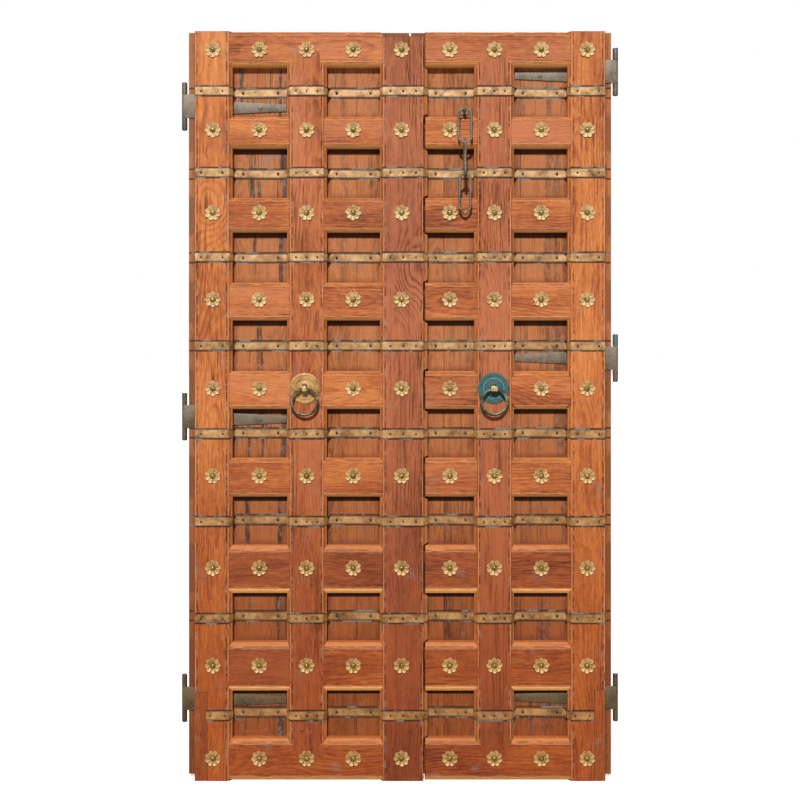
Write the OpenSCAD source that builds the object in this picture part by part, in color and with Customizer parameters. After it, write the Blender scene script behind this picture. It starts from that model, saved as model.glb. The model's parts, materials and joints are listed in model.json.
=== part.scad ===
// Pair of studded timber door leaves. Each leaf is a sheet of planks with a grid of stiles and
// rails nailed over it. Brass bands run across the grid, iron strap hinges lie under it.
// The grid faces -Y, +X is to the right and +Z is up. Lengths are in millimetres.

/* [Door] */
// Width over the planks of both closed leaves
door_w = 1194; // [960:2:1440]
// Height of the grid of stiles and rails
door_h = 2100; // [1740:10:2600]
// How far the right edge of the cover stile lies past the middle of the door
meeting_x = 65; // [40:1:90]
// Gap between the cover stile and the ends of the right leaf's rails
meeting_gap = 5; // [3:0.5:8]

/* [Planks] */
// Thickness of a plank
plank_t = 24; // [16:1:34]
// Joint between two planks
plank_gap = 1; // [0.5:0.1:2]
// How far the planks stand out past the outer stiles
plank_margin = 20; // [12:1:28]
// How far the planks rise over the grid at the top
plank_rise = 3; // [0:1:10]
// How far the planks stop short of the grid at the bottom
plank_lift = 8; // [0:1:20]
// How far the right leaf's planks reach behind the cover stile
lap_w = 34; // [24:1:44]
// Gap between the cover stile and the right leaf's planks
lap_gap = 0.8; // [0.5:0.1:3]

/* [Grid] */
// Thickness of the stiles and rails
grid_t = 32; // [24:1:42]
// Width of an outer stile
outer_stile_w = 106; // [80:1:130]
// Width of a middle stile
middle_stile_w = 111; // [90:1:135]
// Width of the cover stile without its stopped chamfer
cover_stile_w = 121; // [100:1:146]
// How far the cover stile's top stops short of the grid's
cover_stile_drop = 14; // [0:1:24]
// Width of the chamfers on the stiles
chamfer_w = 9; // [5:0.5:11]
// Depth of every chamfer
chamfer_d = 11; // [6:0.5:15]
// Width of the cover stile's chamfer over the right leaf
stop_chamfer_w = 12; // [8:0.5:14]
// Heights of the rails, from the bottom one to the top one
rail_h = [116, 136, 134, 108, 106, 106, 96, 88, 97]; // [70:1:150]
// Widths of the chamfers along the rails, from the bottom one to the top one
rail_chamfer = [12, 15, 15, 9, 9, 9, 9, 9, 10]; // [5:0.5:20]
// Relative heights of the recesses between the rails, from the bottom one up
recess_share = [134, 138, 137, 138, 143, 142, 140, 141]; // [120:1:160]
// Share of the left leaf's open width that lies on its hinge side
left_split = 0.507; // [0.4:0.001:0.6]
// Share of the right leaf's open width that lies on its meeting side
right_split = 0.479; // [0.4:0.001:0.6]
// Width of the tongue on each end of a middle stile
tongue_w = 76; // [60:1:84]
// How far a tongue reaches into its rail
tongue_l = 52; // [30:1:60]
// Thickness of a tongue
tongue_t = 14; // [8:1:20]
// Corner cut on the right leaf's tongues
tongue_clip = 14; // [6:1:24]
// Corner cut on the right leaf's octagonal rail
rail_clip = 26; // [16:1:34]

/* [Repairs] */
// Width of the strip let into the foot of the left outer stile
left_repair_w = 38; // [24:1:50]
// Height of that strip
left_repair_h = 249; // [180:1:320]
// Width of the strip let into the foot of the right outer stile
right_repair_w = 32; // [24:1:50]
// Height of that strip
right_repair_h = 255; // [180:1:320]
// Open joint around a repair strip
repair_gap = 0.5; // [0.2:0.1:1]
// Radius of the domed head of the repair screw
screw_r = 5; // [3:0.5:8]

/* [Brass bands] */
// Height of a band
band_h = 25; // [18:1:32]
// Thickness of a band
band_t = 1.6; // [1:0.1:2.4]
// How far a band stops short of its leaf's outer edge
band_inset = 3; // [1:0.5:8]
// How far the lowest bands stop short of the outer edge
short_band_inset = 34; // [20:1:44]
// Radius of a tack's head
tack_r = 3.4; // [2:0.2:4.4]
// Height of a tack's head
tack_h = 2.2; // [1:0.2:3.4]

/* [Rosettes] */
// Radius of a rosette over its petals
rosette_r = 23; // [18:0.5:28]
// Thickness of a rosette
rosette_t = 1.8; // [1:0.1:3]
// Number of petals
petals = 8; // [6:1:12]
// Radius of a rosette nail's domed head
nail_head_r = 6.8; // [5:0.2:9]
// Height of a rosette nail's head
nail_head_h = 6; // [3:0.5:8]
// Radius of a rosette nail's shank
nail_r = 2.5; // [1.5:0.1:3.5]
// Clearance around every nail shank
nail_fit = 0.05; // [0.02:0.01:0.1]
// Length of the clinched tip on the planks' back
clinch_l = 16; // [8:1:24]
// Thickness of the clinched tip
clinch_t = 4; // [3:0.5:5]
// Height of the rosettes over the middle of their rails
rosette_rise = 6; // [0:1:12]

/* [Hinges] */
// Radius of a hinge pin's core
pin_r = 4; // [3:0.25:5]
// Running clearance around the pin in the strap's eye
pin_fit = 0.05; // [0.02:0.01:0.1]
// Thickness of a hinge strap
strap_t = 3.6; // [3:0.1:5]
// Height of a hinge strap at its eye
strap_eye_h = 66; // [50:1:74]
// Height of a strap where it leaves the outer stile
strap_mid_h = 34; // [24:1:38]
// Height of a strap at its tip
strap_tip_h = 20; // [12:1:24]
// Distance from a strap's tip to the middle stile
strap_tip_gap = 4; // [2:1:12]
// Distance from a pin's axis to the planks' edge
pin_off = 12.5; // [10:0.5:16]
// Length of a barrel on the end of a pin
barrel_l = 34; // [24:1:44]
// Height of the eye's surface over the strap's face
eye_crown = 0.2; // [0.1:0.1:0.4]
// Gap between a barrel and the strap's eye
barrel_gap = 0.8; // [0.6:0.1:1.4]
// Half diagonal of a hinge rivet's lozenge head
rivet_r = 7; // [4:0.5:9]
// Height of a hinge rivet's head
rivet_h = 2.4; // [1:0.2:4]

/* [Ring handles] */
// Radius of a backplate
plate_r = 45; // [38:1:50]
// Height of a backplate's dome
plate_dome = 8; // [5:0.5:12]
// Width of the flat land around the dome
plate_land = 3; // [2:0.5:6]
// Thickness of a backplate's rim
plate_rim = 2; // [1:0.5:3]
// Number of scallops around a backplate
scallops = 20; // [12:1:28]
// Radius of a scallop's notch
scallop_r = 2.6; // [1.5:0.1:3.5]
// Outer radius of a ring
ring_r = 40; // [34:1:46]
// Radius of the left ring's bar
left_bar_r = 3.8; // [3:0.1:5]
// Radius of the right ring's bar
right_bar_r = 4.4; // [3:0.1:5]
// Clearance between a ring or link and the eye that carries it
eye_play = 0.5; // [0.3:0.1:1]
// Radius of the bar that an eye is bent from
eye_bar_r = 2.4; // [1.8:0.1:3]
// Radius of an eye's shank
shank_r = 3; // [2:0.1:4]
// Depth of an eye's shank in the timber
shank_depth = 22; // [16:1:28]
// Height of the handles over the middle of their rail
handle_rise = 5; // [0:1:12]

/* [Chain] */
// Radius of the bar that a link is bent from
link_bar_r = 3.8; // [3:0.1:4.6]
// Lengths of the links, from the staple down
link_l = [101, 110, 116]; // [90:1:130]
// Widths of the links, from the staple down
link_w = [43, 40, 38]; // [34:1:46]
// Play between two links
link_play = 0.3; // [0.3:0.1:0.8]
// Gap between the hanging chain and the grid
chain_gap = 1.5; // [1:0.5:4]
// Height of the staple over the rail below it
staple_rise = 17; // [13:1:30]
// Distance from the chain to the middle stile
chain_side = 28; // [22:1:50]

/* [Hidden] */
$fn = 48;
cut = 1;                       // how far a cutter reaches past what it cuts
rows = len(rail_h);
handle_row = 4;

// Colours
heart_teak = [0.72, 0.38, 0.20];
dark_teak = [0.55, 0.30, 0.18];
brass = [0.74, 0.60, 0.32];
iron = [0.42, 0.38, 0.34];
verdigris = [0.18, 0.45, 0.44];

// Heights, from the bottom rail up
function sum_to(list, n) = n <= 0 ? 0 : list[n - 1] + sum_to(list, n - 1);
recess_total = door_h - sum_to(rail_h, rows);
function recess_sum(n) = recess_total * sum_to(recess_share, n) / sum_to(recess_share, rows - 1);
function rail_low(i) = sum_to(rail_h, i) + recess_sum(i);
function rail_high(i) = rail_low(i) + rail_h[i];
function rail_mid(i) = (rail_low(i) + rail_high(i)) / 2;
function recess_mid(i) = (rail_high(i) + rail_low(i + 1)) / 2;

// Left and right edge of each upright, and of each row of rails between them
left_outer = [-door_w / 2 + plank_margin, -door_w / 2 + plank_margin + outer_stile_w];
cover = [meeting_x - cover_stile_w, meeting_x];
left_middle_x = left_outer[1] + (cover[0] - left_outer[1] - middle_stile_w) * left_split;
left_middle = [left_middle_x, left_middle_x + middle_stile_w];
right_outer = [door_w / 2 - plank_margin - outer_stile_w, door_w / 2 - plank_margin];
right_rail_x = meeting_x + meeting_gap;
right_middle_x = right_rail_x + (right_outer[0] - right_rail_x - middle_stile_w) * right_split;
right_middle = [right_middle_x, right_middle_x + middle_stile_w];
tooth_x = meeting_x + stop_chamfer_w;
left_span = [left_outer[1], cover[0]];
right_span = [right_rail_x, right_outer[0]];
function mid(span) = (span[0] + span[1]) / 2;

// Joints between the planks
lap_x = meeting_x - lap_w;
left_seams = [-door_w / 2, mid(left_outer) + 24, mid(left_middle) - 30, mid([left_middle[1], cover[0]]) + 9,
    lap_x - meeting_gap];
right_seams = [lap_x, mid([right_rail_x, right_middle[0]]) - 15, right_middle[1] + 22, door_w / 2];

// Depths: the planks' front face is the plane between the planks and the grid
front_reach = grid_t + chain_gap + link_w[1];
back_reach = plank_t + clinch_t;
face_y = (front_reach - back_reach) / 2;
front = -grid_t;

// Rosette columns, hinge and handle places
left_cols = [mid(left_outer), mid([left_outer[1], left_middle[0]]), mid(left_middle),
    mid([left_middle[1], cover[0]]), mid(cover)];
right_cols = [mid([right_rail_x, right_middle[0]]), mid(right_middle),
    mid([right_middle[1], right_outer[0]]), mid(right_outer)];
left_handle_x = mid(left_middle) - 5;
right_handle_x = mid(right_middle) - 2;
handle_z = rail_mid(handle_row) + handle_rise;
pin_x = door_w / 2 + pin_off;
eye_r = pin_r + pin_fit + strap_t;
pin_y = eye_r - strap_t - eye_crown;
left_hinge_z = [recess_mid(7) - 37, recess_mid(3) + 46, recess_mid(0) + 39];
left_hinge_drop = [5, 7, 3];
right_hinge_z = [recess_mid(7) + 61, recess_mid(4) - 35, recess_mid(0) + 41];
right_hinge_drop = [12, -1, -1];

// Ring and chain places
plate_top = plate_rim + plate_dome;
ring_inner_gap = eye_play + 2 * eye_bar_r;
left_ring_y = front - plate_top - left_bar_r - ring_inner_gap;
right_ring_y = front - plate_top - right_bar_r - ring_inner_gap;
chain_x = right_middle[0] - chain_side;
chain_y = front - chain_gap - link_w[1] / 2;
staple_z = rail_high(7) + staple_rise;
link_step = 4 * link_bar_r + link_play;
function link_top(i) = i == 0 ? staple_z + link_bar_r : link_top(i - 1) - link_l[i - 1] + link_step;

// ---- helpers

// Moves a leaf's parts from the planks' front plane to the part's own origin
module in_place() { translate([0, face_y, 0]) children(); }

// A round bar along +Y from y0 to y1
module bar_y(r, x, z, y0, y1) { translate([x, y0, z]) rotate([-90, 0, 0]) cylinder(r=r, h=y1 - y0); }

// Extrudes an outline drawn in X and Z from y0 to y1
module slab(y0, y1) { translate([0, y1, 0]) rotate([90, 0, 0]) linear_extrude(y1 - y0) children(); }

// A domed head of radius r and height h that grows from the origin towards -Y
module dome(r, h) {
    ball = (r * r + h * h) / (2 * h);
    rotate([90, 0, 0]) rotate_extrude() intersection() {
        translate([0, h - ball]) circle(ball, $fn=96);
        square([r, h]);
    }
}

// Points of a chamfer's far half, for an edge at z that the face leaves by w on side s
function chamfer_points(z, w, s) = [[front, z - s * w], [front + 0.35 * chamfer_d, z - s * w / 2],
    [front + chamfer_d, z]];

// Outline of a rail's section in Y and Z
module rail_section(z0, z1, w) {
    up = chamfer_points(z1, w, 1);
    down = chamfer_points(z0, w, -1);
    polygon([up[0], up[1], up[2], [0, z1], [0, z0], down[2], down[1], down[0]]);
}

// Turns a section drawn in Y and Z into a bar along X from x0 to x1
module along_x(x0, x1) { translate([x0, 0, 0]) rotate([90, 0, 90]) linear_extrude(x1 - x0) children(); }

// A rail between two uprights. cope says which ends reach over an upright's chamfer.
module rail(span, i, cope=[1, 1]) {
    ends = [span[0] - cope[0] * chamfer_w, span[1] + cope[1] * chamfer_w];
    intersection() {
        along_x(ends[0], ends[1]) rail_section(rail_low(i), rail_high(i), rail_chamfer[i]);
        translate([0, 0, rail_low(i)]) linear_extrude(rail_h[i]) polygon([[ends[0], front],
            [ends[1], front], [span[1], front + chamfer_d], [span[1], 0], [span[0], 0],
            [span[0], front + chamfer_d]]);
    }
}

// The section of an upright in X and Y, with a chamfer of its own width on each side
module stile_section(span, left_w=chamfer_w, right_w=chamfer_w) {
    polygon([[span[0] + left_w, front], [span[1] - right_w, front], [span[1], front + chamfer_d],
        [span[1], 0], [span[0], 0], [span[0], front + chamfer_d]]);
}

// Holes for the rosette nails of the columns that lie between x0 and x1
module nail_holes(cols, x0, x1) {
    for (c = [0:len(cols) - 1], i = [0:rows - 1]) if (cols[c] > x0 && cols[c] < x1 && has_rosette(cols, c, i))
        bar_y(nail_r + nail_fit, cols[c], rosette_z(i), front - cut, plank_t + cut);
}

// The ring handles take the place of one rosette on each middle stile
function middle_col(cols) = cols == left_cols ? 2 : 1;
function has_rosette(cols, c, i) = !(i == handle_row && c == middle_col(cols));
function rosette_z(i) = rail_mid(i) + (i == rows - 1 ? -rosette_rise / 2 : rosette_rise);

// ---- planks

module plank(seams, n, cols) {
    left = n == 0 ? 0 : plank_gap / 2;
    right = n == len(seams) - 2 ? 0 : plank_gap / 2;
    x0 = seams[n] + left;
    x1 = seams[n + 1] - right;
    in_place() difference() {
        translate([x0, 0, plank_lift]) cube([x1 - x0, plank_t, door_h + plank_rise - plank_lift]);
        nail_holes(cols, x0, x1);
        bar_y(shank_r + nail_fit, chain_x, staple_z, -cut, shank_depth);
    }
}
module left_plank_1() { color(dark_teak) plank(left_seams, 0, left_cols); }
module left_plank_2() { color(dark_teak) plank(left_seams, 1, left_cols); }
module left_plank_3() { color(dark_teak) plank(left_seams, 2, left_cols); }
module left_plank_4() { color(dark_teak) plank(left_seams, 3, left_cols); }
module right_plank_1() { color(dark_teak) plank(right_seams, 0, right_cols); }
module right_plank_2() { color(dark_teak) plank(right_seams, 1, right_cols); }
module right_plank_3() { color(dark_teak) plank(right_seams, 2, right_cols); }

// ---- uprights

// Outline of a hinge strap in X and Z, grown by extra, for a leaf on side s of the door
module strap_outline(s, outer, middle, z, drop, extra=0) {
    inner_edge = s < 0 ? outer[1] : outer[0];
    outer_edge = s < 0 ? outer[0] : outer[1];
    tip = s < 0 ? middle[0] - strap_tip_gap : middle[1] + strap_tip_gap;
    eye = strap_eye_h / 2 + extra;
    mid_half = strap_mid_h / 2 + extra;
    tip_half = strap_tip_h / 2 + extra;
    polygon([[s * pin_x, z + eye], [outer_edge, z + eye], [inner_edge, z - drop + mid_half],
        [tip, z - drop + tip_half], [tip, z - drop - tip_half], [inner_edge, z - drop - mid_half],
        [outer_edge, z - eye], [s * pin_x, z - eye]]);
}

module outer_stile(s, span, middle, cols, hinge_z, drops, repair_w, repair_h) {
    arris = 3;
    edge = s < 0 ? span[0] : span[1];
    in_place() difference() {
        linear_extrude(door_h) stile_section(span, s < 0 ? arris : chamfer_w, s < 0 ? chamfer_w : arris);
        for (k = [0:2]) slab(-strap_t, cut) strap_outline(s, span, middle, hinge_z[k], drops[k], repair_gap);
        translate([s < 0 ? edge - cut : edge - repair_w, front - cut, -cut])
            cube([repair_w + cut, grid_t + 2 * cut, repair_h + cut]);
        nail_holes(cols, span[0], span[1]);
    }
}
module left_outer_stile() {
    color(heart_teak) outer_stile(-1, left_outer, left_middle, left_cols, left_hinge_z, left_hinge_drop,
        left_repair_w, left_repair_h);
}
module right_outer_stile() {
    color(heart_teak) outer_stile(1, right_outer, right_middle, right_cols, right_hinge_z,
        right_hinge_drop, right_repair_w, right_repair_h);
}

// A strip let into the foot of an outer stile on side s
module repair_strip(s, span, w, h) {
    arris = 3;
    edge = s < 0 ? span[0] : span[1];
    inner = edge - s * (w - repair_gap);
    low_hinge = s < 0 ? [left_middle, left_hinge_z[2], left_hinge_drop[2]]
        : [right_middle, right_hinge_z[2], right_hinge_drop[2]];
    in_place() difference() {
        linear_extrude(h - repair_gap) polygon([[edge, 0], [edge, front + chamfer_d],
            [edge - s * arris, front], [inner, front], [inner, 0]]);
        slab(-strap_t, cut) strap_outline(s, span, low_hinge[0], low_hinge[1], low_hinge[2], repair_gap);
    }
}
module left_repair_strip() { color(dark_teak) repair_strip(-1, left_outer, left_repair_w, left_repair_h); }
module right_repair_strip() {
    color(dark_teak) repair_strip(1, right_outer, right_repair_w, right_repair_h);
}

// Outline in X and Z of the tongue on the end of a middle stile, from z towards side s
module tongue_outline(x, z, s, clip) {
    half = tongue_w / 2;
    tip = z + s * tongue_l;
    if (clip) {
        polygon([[x - half, z], [x - half, tip - s * tongue_clip], [x - half + tongue_clip, tip],
            [x + half - tongue_clip, tip], [x + half, tip - s * tongue_clip], [x + half, z]]);
    } else {
        intersection() {
            translate([x - half, s > 0 ? z : tip]) square([tongue_w, tongue_l]);
            translate([x, tip - s * tongue_w * 0.62]) circle(tongue_w * 0.62, $fn=96);
        }
    }
}

module tongues(x, clip) {
    slab(front, front + tongue_t) tongue_outline(x, rail_low(rows - 1), 1, clip);
    slab(front, front + tongue_t) tongue_outline(x, rail_high(0), -1, clip);
}

module middle_stile(span, cols, handle_x, clip) {
    top = chamfer_points(rail_low(rows - 1), rail_chamfer[rows - 1], -1);
    foot = chamfer_points(rail_high(0), rail_chamfer[0], 1);
    in_place() difference() {
        union() {
            intersection() {
                linear_extrude(door_h) stile_section(span);
                along_x(span[0], span[1]) polygon([top[0], top[1], top[2], [0, top[2][1]],
                    [0, foot[2][1]], foot[2], foot[1], foot[0]]);
            }
            tongues(mid(span), clip);
        }
        nail_holes(cols, span[0], span[1]);
        bar_y(shank_r + nail_fit, handle_x, handle_z, front - cut, front + shank_depth);
    }
}
module left_middle_stile() { color(heart_teak) middle_stile(left_middle, left_cols, left_handle_x, false); }
module right_middle_stile() {
    color(heart_teak) middle_stile(right_middle, right_cols, right_handle_x, true);
}

// Outline in X and Z of the stopped chamfer over the right leaf's recess i
module tooth_outline(i) {
    z0 = rail_high(i) + 1.5;
    z1 = rail_low(i + 1) - 1.5;
    slope = stop_chamfer_w * 0.6;
    polygon([[meeting_x - cut, z0], [meeting_x, z0], [tooth_x, z0 + slope], [tooth_x, z1 - slope],
        [meeting_x, z1], [meeting_x - cut, z1]]);
}

module cover_stile() {
    arris = 1.5;
    seat_x = left_seams[4] + 1;
    color(heart_teak) in_place() difference() {
        union() {
            linear_extrude(door_h - cover_stile_drop) polygon([[cover[0] + chamfer_w, front],
                [meeting_x - arris, front], [meeting_x, front + arris], [meeting_x, -lap_gap],
                [seat_x, -lap_gap], [seat_x, 0], [cover[0], 0], [cover[0], front + chamfer_d]]);
            for (i = [0:rows - 2]) intersection() {
                slab(front - cut, 0) tooth_outline(i);
                translate([0, 0, rail_low(i)]) linear_extrude(rail_high(i + 1) - rail_low(i))
                    polygon([[meeting_x - cut, front + arris], [meeting_x, front + arris],
                        [tooth_x, front + chamfer_d], [tooth_x, -lap_gap], [meeting_x - cut, -lap_gap]]);
            }
        }
        nail_holes(left_cols, cover[0], cover[1]);
    }
}

// ---- rails

module end_rail(span, i, cope, cols, middle, clip) {
    in_place() difference() {
        rail(span, i, cope);
        tongues(mid(middle), clip);
        nail_holes(cols, span[0], span[1]);
    }
}
module left_top_rail() {
    color(heart_teak) end_rail(left_span, rows - 1, [1, 1], left_cols, left_middle, false);
}
module left_bottom_rail() {
    color(heart_teak) end_rail(left_span, 0, [1, 1], left_cols, left_middle, false);
}
module right_top_rail() {
    color(heart_teak) end_rail(right_span, rows - 1, [0, 1], right_cols, right_middle, true);
}
module right_bottom_rail() {
    color(heart_teak) end_rail(right_span, 0, [0, 1], right_cols, right_middle, true);
}

module short_rails(span, cope, cols, clip_row=-1) {
    in_place() for (i = [1:rows - 2]) difference() {
        rail(span, i, cope);
        nail_holes(cols, span[0], span[1]);
        if (i == clip_row) {
            for (x = [span[0] - chamfer_w, span[1] + chamfer_w], z = [rail_low(i), rail_high(i)])
                slab(front - cut, front + chamfer_d) translate([x, z]) rotate(45)
                    square(rail_clip, center=true);
        }
    }
}
module left_hinge_side_rails() {
    color(heart_teak) short_rails([left_outer[1], left_middle[0]], [1, 1], left_cols);
}
module left_meeting_side_rails() {
    color(heart_teak) short_rails([left_middle[1], cover[0]], [1, 1], left_cols);
}
module right_meeting_side_rails() {
    color(heart_teak) short_rails([right_rail_x, right_middle[0]], [0, 1], right_cols);
}
module right_hinge_side_rails() {
    color(heart_teak) short_rails([right_middle[1], right_outer[0]], [1, 1], right_cols, handle_row);
}

module repair_screw() {
    color(iron) in_place() translate([mid(left_middle) - 12, front, rail_high(0) + 26])
        dome(screw_r, screw_r / 2);
}

// ---- brass bands

chamfer_angle = atan(chamfer_d / chamfer_w);
bend_top = band_t * tan(chamfer_angle / 2);
bend_side = band_t * tan((90 - chamfer_angle) / 2);
// Points of a band's back (t = 0) or face (t = band_t) as it climbs a stile's left side and leaves it
function climb(x, t) = [[x - t, -t], [x - t, front + chamfer_d - bend_side * t / band_t],
    [x + chamfer_w - bend_top * t / band_t, front - t]];
function leave(x, t) = [[x - chamfer_w + bend_top * t / band_t, front - t],
    [x + t, front + chamfer_d - bend_side * t / band_t], [x + t, -t]];
function left_path(x0, t) = concat([[x0, front - t]], leave(left_outer[1], t), climb(left_middle[0], t),
    leave(left_middle[1], t), climb(cover[0], t), [[meeting_x, front - t],
    [tooth_x + t, front + chamfer_d - t * 0.5], [tooth_x + t, -lap_gap - t]]);
function right_path(x1, t) = concat([[tooth_x + 2 * band_t, -t]], climb(right_middle[0], t),
    leave(right_middle[1], t), climb(right_outer[0], t), [[x1, front - t]]);
function reversed(list) = [for (k = [len(list) - 1:-1:0]) list[k]];

module band(face, back, i) {
    translate([0, 0, recess_mid(i) - band_h / 2]) linear_extrude(band_h)
        polygon(concat(face, reversed(back)));
}
function left_band_x(i) = left_outer[0] + (i == 0 ? short_band_inset : band_inset);
function right_band_x(i) = right_outer[1] - (i == 0 ? short_band_inset : band_inset);
module left_bands() {
    color(brass) in_place() for (i = [0:rows - 2])
        band(left_path(left_band_x(i), band_t), left_path(left_band_x(i), 0), i);
}
module right_bands() {
    color(brass) in_place() for (i = [0:rows - 2])
        band(right_path(right_band_x(i), band_t), right_path(right_band_x(i), 0), i);
}

// Tacks along a stretch of band from x0 to x1, on a face at depth y
module tack_run(x0, x1, count, y, i) {
    inset = (x1 - x0) * 0.18;
    step = (x1 - x0 - 2 * inset) / (count - 1);
    for (k = [0:count - 1])
        translate([x0 + inset + k * step, y - band_t, recess_mid(i)]) dome(tack_r, tack_h);
}
module left_band_tacks() {
    color(iron) in_place() for (i = [0:rows - 2]) {
        tack_run(left_band_x(i), left_outer[1] - chamfer_w, 2, front, i);
        tack_run(left_outer[1], left_middle[0], 2, 0, i);
        tack_run(left_middle[0] + chamfer_w, left_middle[1] - chamfer_w, 3, front, i);
        tack_run(left_middle[1], cover[0], 2, 0, i);
        tack_run(cover[0] + chamfer_w, cover[1], 3, front, i);
    }
}
module right_band_tacks() {
    color(iron) in_place() for (i = [0:rows - 2]) {
        tack_run(tooth_x, right_middle[0], 2, 0, i);
        tack_run(right_middle[0] + chamfer_w, right_middle[1] - chamfer_w, 3, front, i);
        tack_run(right_middle[1], right_outer[0], 2, 0, i);
        tack_run(right_outer[0] + chamfer_w, right_band_x(i), 2, front, i);
    }
}

// ---- rosettes and their nails

petal_r = rosette_r * 0.31;
module rosette() {
    rotate([90, 0, 0]) linear_extrude(rosette_t) difference() {
        union() {
            circle(rosette_r - petal_r);
            for (a = [0:petals - 1]) rotate((a + 0.5) * 360 / petals) translate([rosette_r - petal_r, 0])
                circle(petal_r);
        }
        circle(nail_r + nail_fit);
    }
}
module at_rosettes(cols) {
    in_place() for (c = [0:len(cols) - 1], i = [0:rows - 1]) if (has_rosette(cols, c, i))
        translate([cols[c], front, rosette_z(i)]) children();
}
module rosette_nail() {
    bent_y = grid_t + plank_t;
    translate([0, -rosette_t, 0]) dome(nail_head_r, nail_head_h);
    bar_y(nail_r, 0, 0, -rosette_t - cut, bent_y + clinch_t / 2);
    translate([-nail_r, bent_y, -clinch_l + nail_r]) cube([2 * nail_r, clinch_t, clinch_l]);
}
module left_rosettes() { color(brass) at_rosettes(left_cols) rosette(); }
module right_rosettes() { color(brass) at_rosettes(right_cols) rosette(); }
module left_rosette_nails() { color(brass) at_rosettes(left_cols) rosette_nail(); }
module right_rosette_nails() { color(brass) at_rosettes(right_cols) rosette_nail(); }

// ---- hinges

module hinge_strap(s, outer, middle, z, drop) {
    color(iron) in_place() difference() {
        union() {
            slab(-strap_t, 0) strap_outline(s, outer, middle, z, drop);
            translate([s * pin_x, pin_y, z - strap_eye_h / 2]) cylinder(r=eye_r, h=strap_eye_h);
        }
        translate([s * pin_x, pin_y, z - strap_eye_h / 2 - cut])
            cylinder(r=pin_r + pin_fit, h=strap_eye_h + 2 * cut);
    }
}
module left_top_hinge_strap() {
    hinge_strap(-1, left_outer, left_middle, left_hinge_z[0], left_hinge_drop[0]);
}
module left_mid_hinge_strap() {
    hinge_strap(-1, left_outer, left_middle, left_hinge_z[1], left_hinge_drop[1]);
}
module left_low_hinge_strap() {
    hinge_strap(-1, left_outer, left_middle, left_hinge_z[2], left_hinge_drop[2]);
}
module right_top_hinge_strap() {
    hinge_strap(1, right_outer, right_middle, right_hinge_z[0], right_hinge_drop[0]);
}
module right_mid_hinge_strap() {
    hinge_strap(1, right_outer, right_middle, right_hinge_z[1], right_hinge_drop[1]);
}
module right_low_hinge_strap() {
    hinge_strap(1, right_outer, right_middle, right_hinge_z[2], right_hinge_drop[2]);
}

// A sleeve pressed on the end of a pin, with its outer end rounded, grown from z = 0 up
module barrel() {
    round_r = 3;
    rotate_extrude() difference() {
        union() {
            square([eye_r, barrel_l - round_r]);
            square([eye_r - round_r, barrel_l]);
            translate([eye_r - round_r, barrel_l - round_r]) circle(round_r);
        }
        square([pin_r, barrel_l]);
    }
}

// A hinge pin with the two barrels that a frame's eyes grip
module hinge_pin(s, z) {
    half = strap_eye_h / 2 + barrel_gap;
    color(iron) in_place() translate([s * pin_x, pin_y, z]) {
        translate([0, 0, -half - barrel_l]) cylinder(r=pin_r, h=2 * (half + barrel_l));
        translate([0, 0, half]) barrel();
        translate([0, 0, -half]) mirror([0, 0, 1]) barrel();
    }
}
module left_top_hinge_pin() { hinge_pin(-1, left_hinge_z[0]); }
module left_mid_hinge_pin() { hinge_pin(-1, left_hinge_z[1]); }
module left_low_hinge_pin() { hinge_pin(-1, left_hinge_z[2]); }
module right_top_hinge_pin() { hinge_pin(1, right_hinge_z[0]); }
module right_mid_hinge_pin() { hinge_pin(1, right_hinge_z[1]); }
module right_low_hinge_pin() { hinge_pin(1, right_hinge_z[2]); }

// One lozenge-headed rivet in the bay beside the outer stile holds each strap
module hinge_rivets(bay, hinge_z, drops) {
    color(iron) in_place() for (k = [0:2])
        slab(-strap_t - rivet_h, -strap_t) translate([mid(bay), hinge_z[k] - drops[k]])
            circle(rivet_r, $fn=4);
}
module left_hinge_rivets() { hinge_rivets([left_outer[1], left_middle[0]], left_hinge_z, left_hinge_drop); }
module right_hinge_rivets() {
    hinge_rivets([right_middle[1], right_outer[0]], right_hinge_z, right_hinge_drop);
}

// ---- ring handles

// A domed plate with a scalloped rim, its back on the stile's face
module ring_plate(x) {
    in_place() translate([x, front, handle_z]) difference() {
        union() {
            rotate([90, 0, 0]) cylinder(r=plate_r, h=plate_rim);
            translate([0, -plate_rim, 0]) dome(plate_r - plate_land, plate_dome);
        }
        for (a = [0:scallops - 1]) rotate([0, a * 360 / scallops, 0])
            bar_y(scallop_r, plate_r + scallop_r / 3, 0, -plate_top, cut);
        bar_y(shank_r + nail_fit, 0, 0, -plate_top - cut, cut);
    }
}

// An eye bent around a bar of radius bar_r that lies at depth y, on a shank that ends at depth end_y
module eye_bolt(x, y, z, bar_r, end_y) {
    bend_r = bar_r + eye_play + eye_bar_r;
    in_place() {
        translate([x, y, z]) rotate([0, 90, 0]) rotate_extrude() translate([bend_r, 0]) circle(eye_bar_r);
        bar_y(shank_r, x, z, y + bend_r, end_y);
    }
}

// A ring of outer radius r that hangs from a point at depth y
module hanging_ring(x, y, bar_r) {
    in_place() translate([x, y, handle_z - ring_r + bar_r]) rotate([90, 0, 0]) rotate_extrude($fn=96)
        translate([ring_r - bar_r, 0]) circle(bar_r);
}
shank_end = front + shank_depth - cut;
module left_ring_plate() { color(brass) ring_plate(left_handle_x); }
module left_ring_eye() { color(brass) eye_bolt(left_handle_x, left_ring_y, handle_z, left_bar_r, shank_end); }
module left_ring() { color(iron) hanging_ring(left_handle_x, left_ring_y, left_bar_r); }
module right_ring_plate() { color(verdigris) ring_plate(right_handle_x); }
module right_ring_eye() {
    color(brass) eye_bolt(right_handle_x, right_ring_y, handle_z, right_bar_r, shank_end);
}
module right_ring() { color(verdigris) hanging_ring(right_handle_x, right_ring_y, right_bar_r); }

// ---- chain

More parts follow.
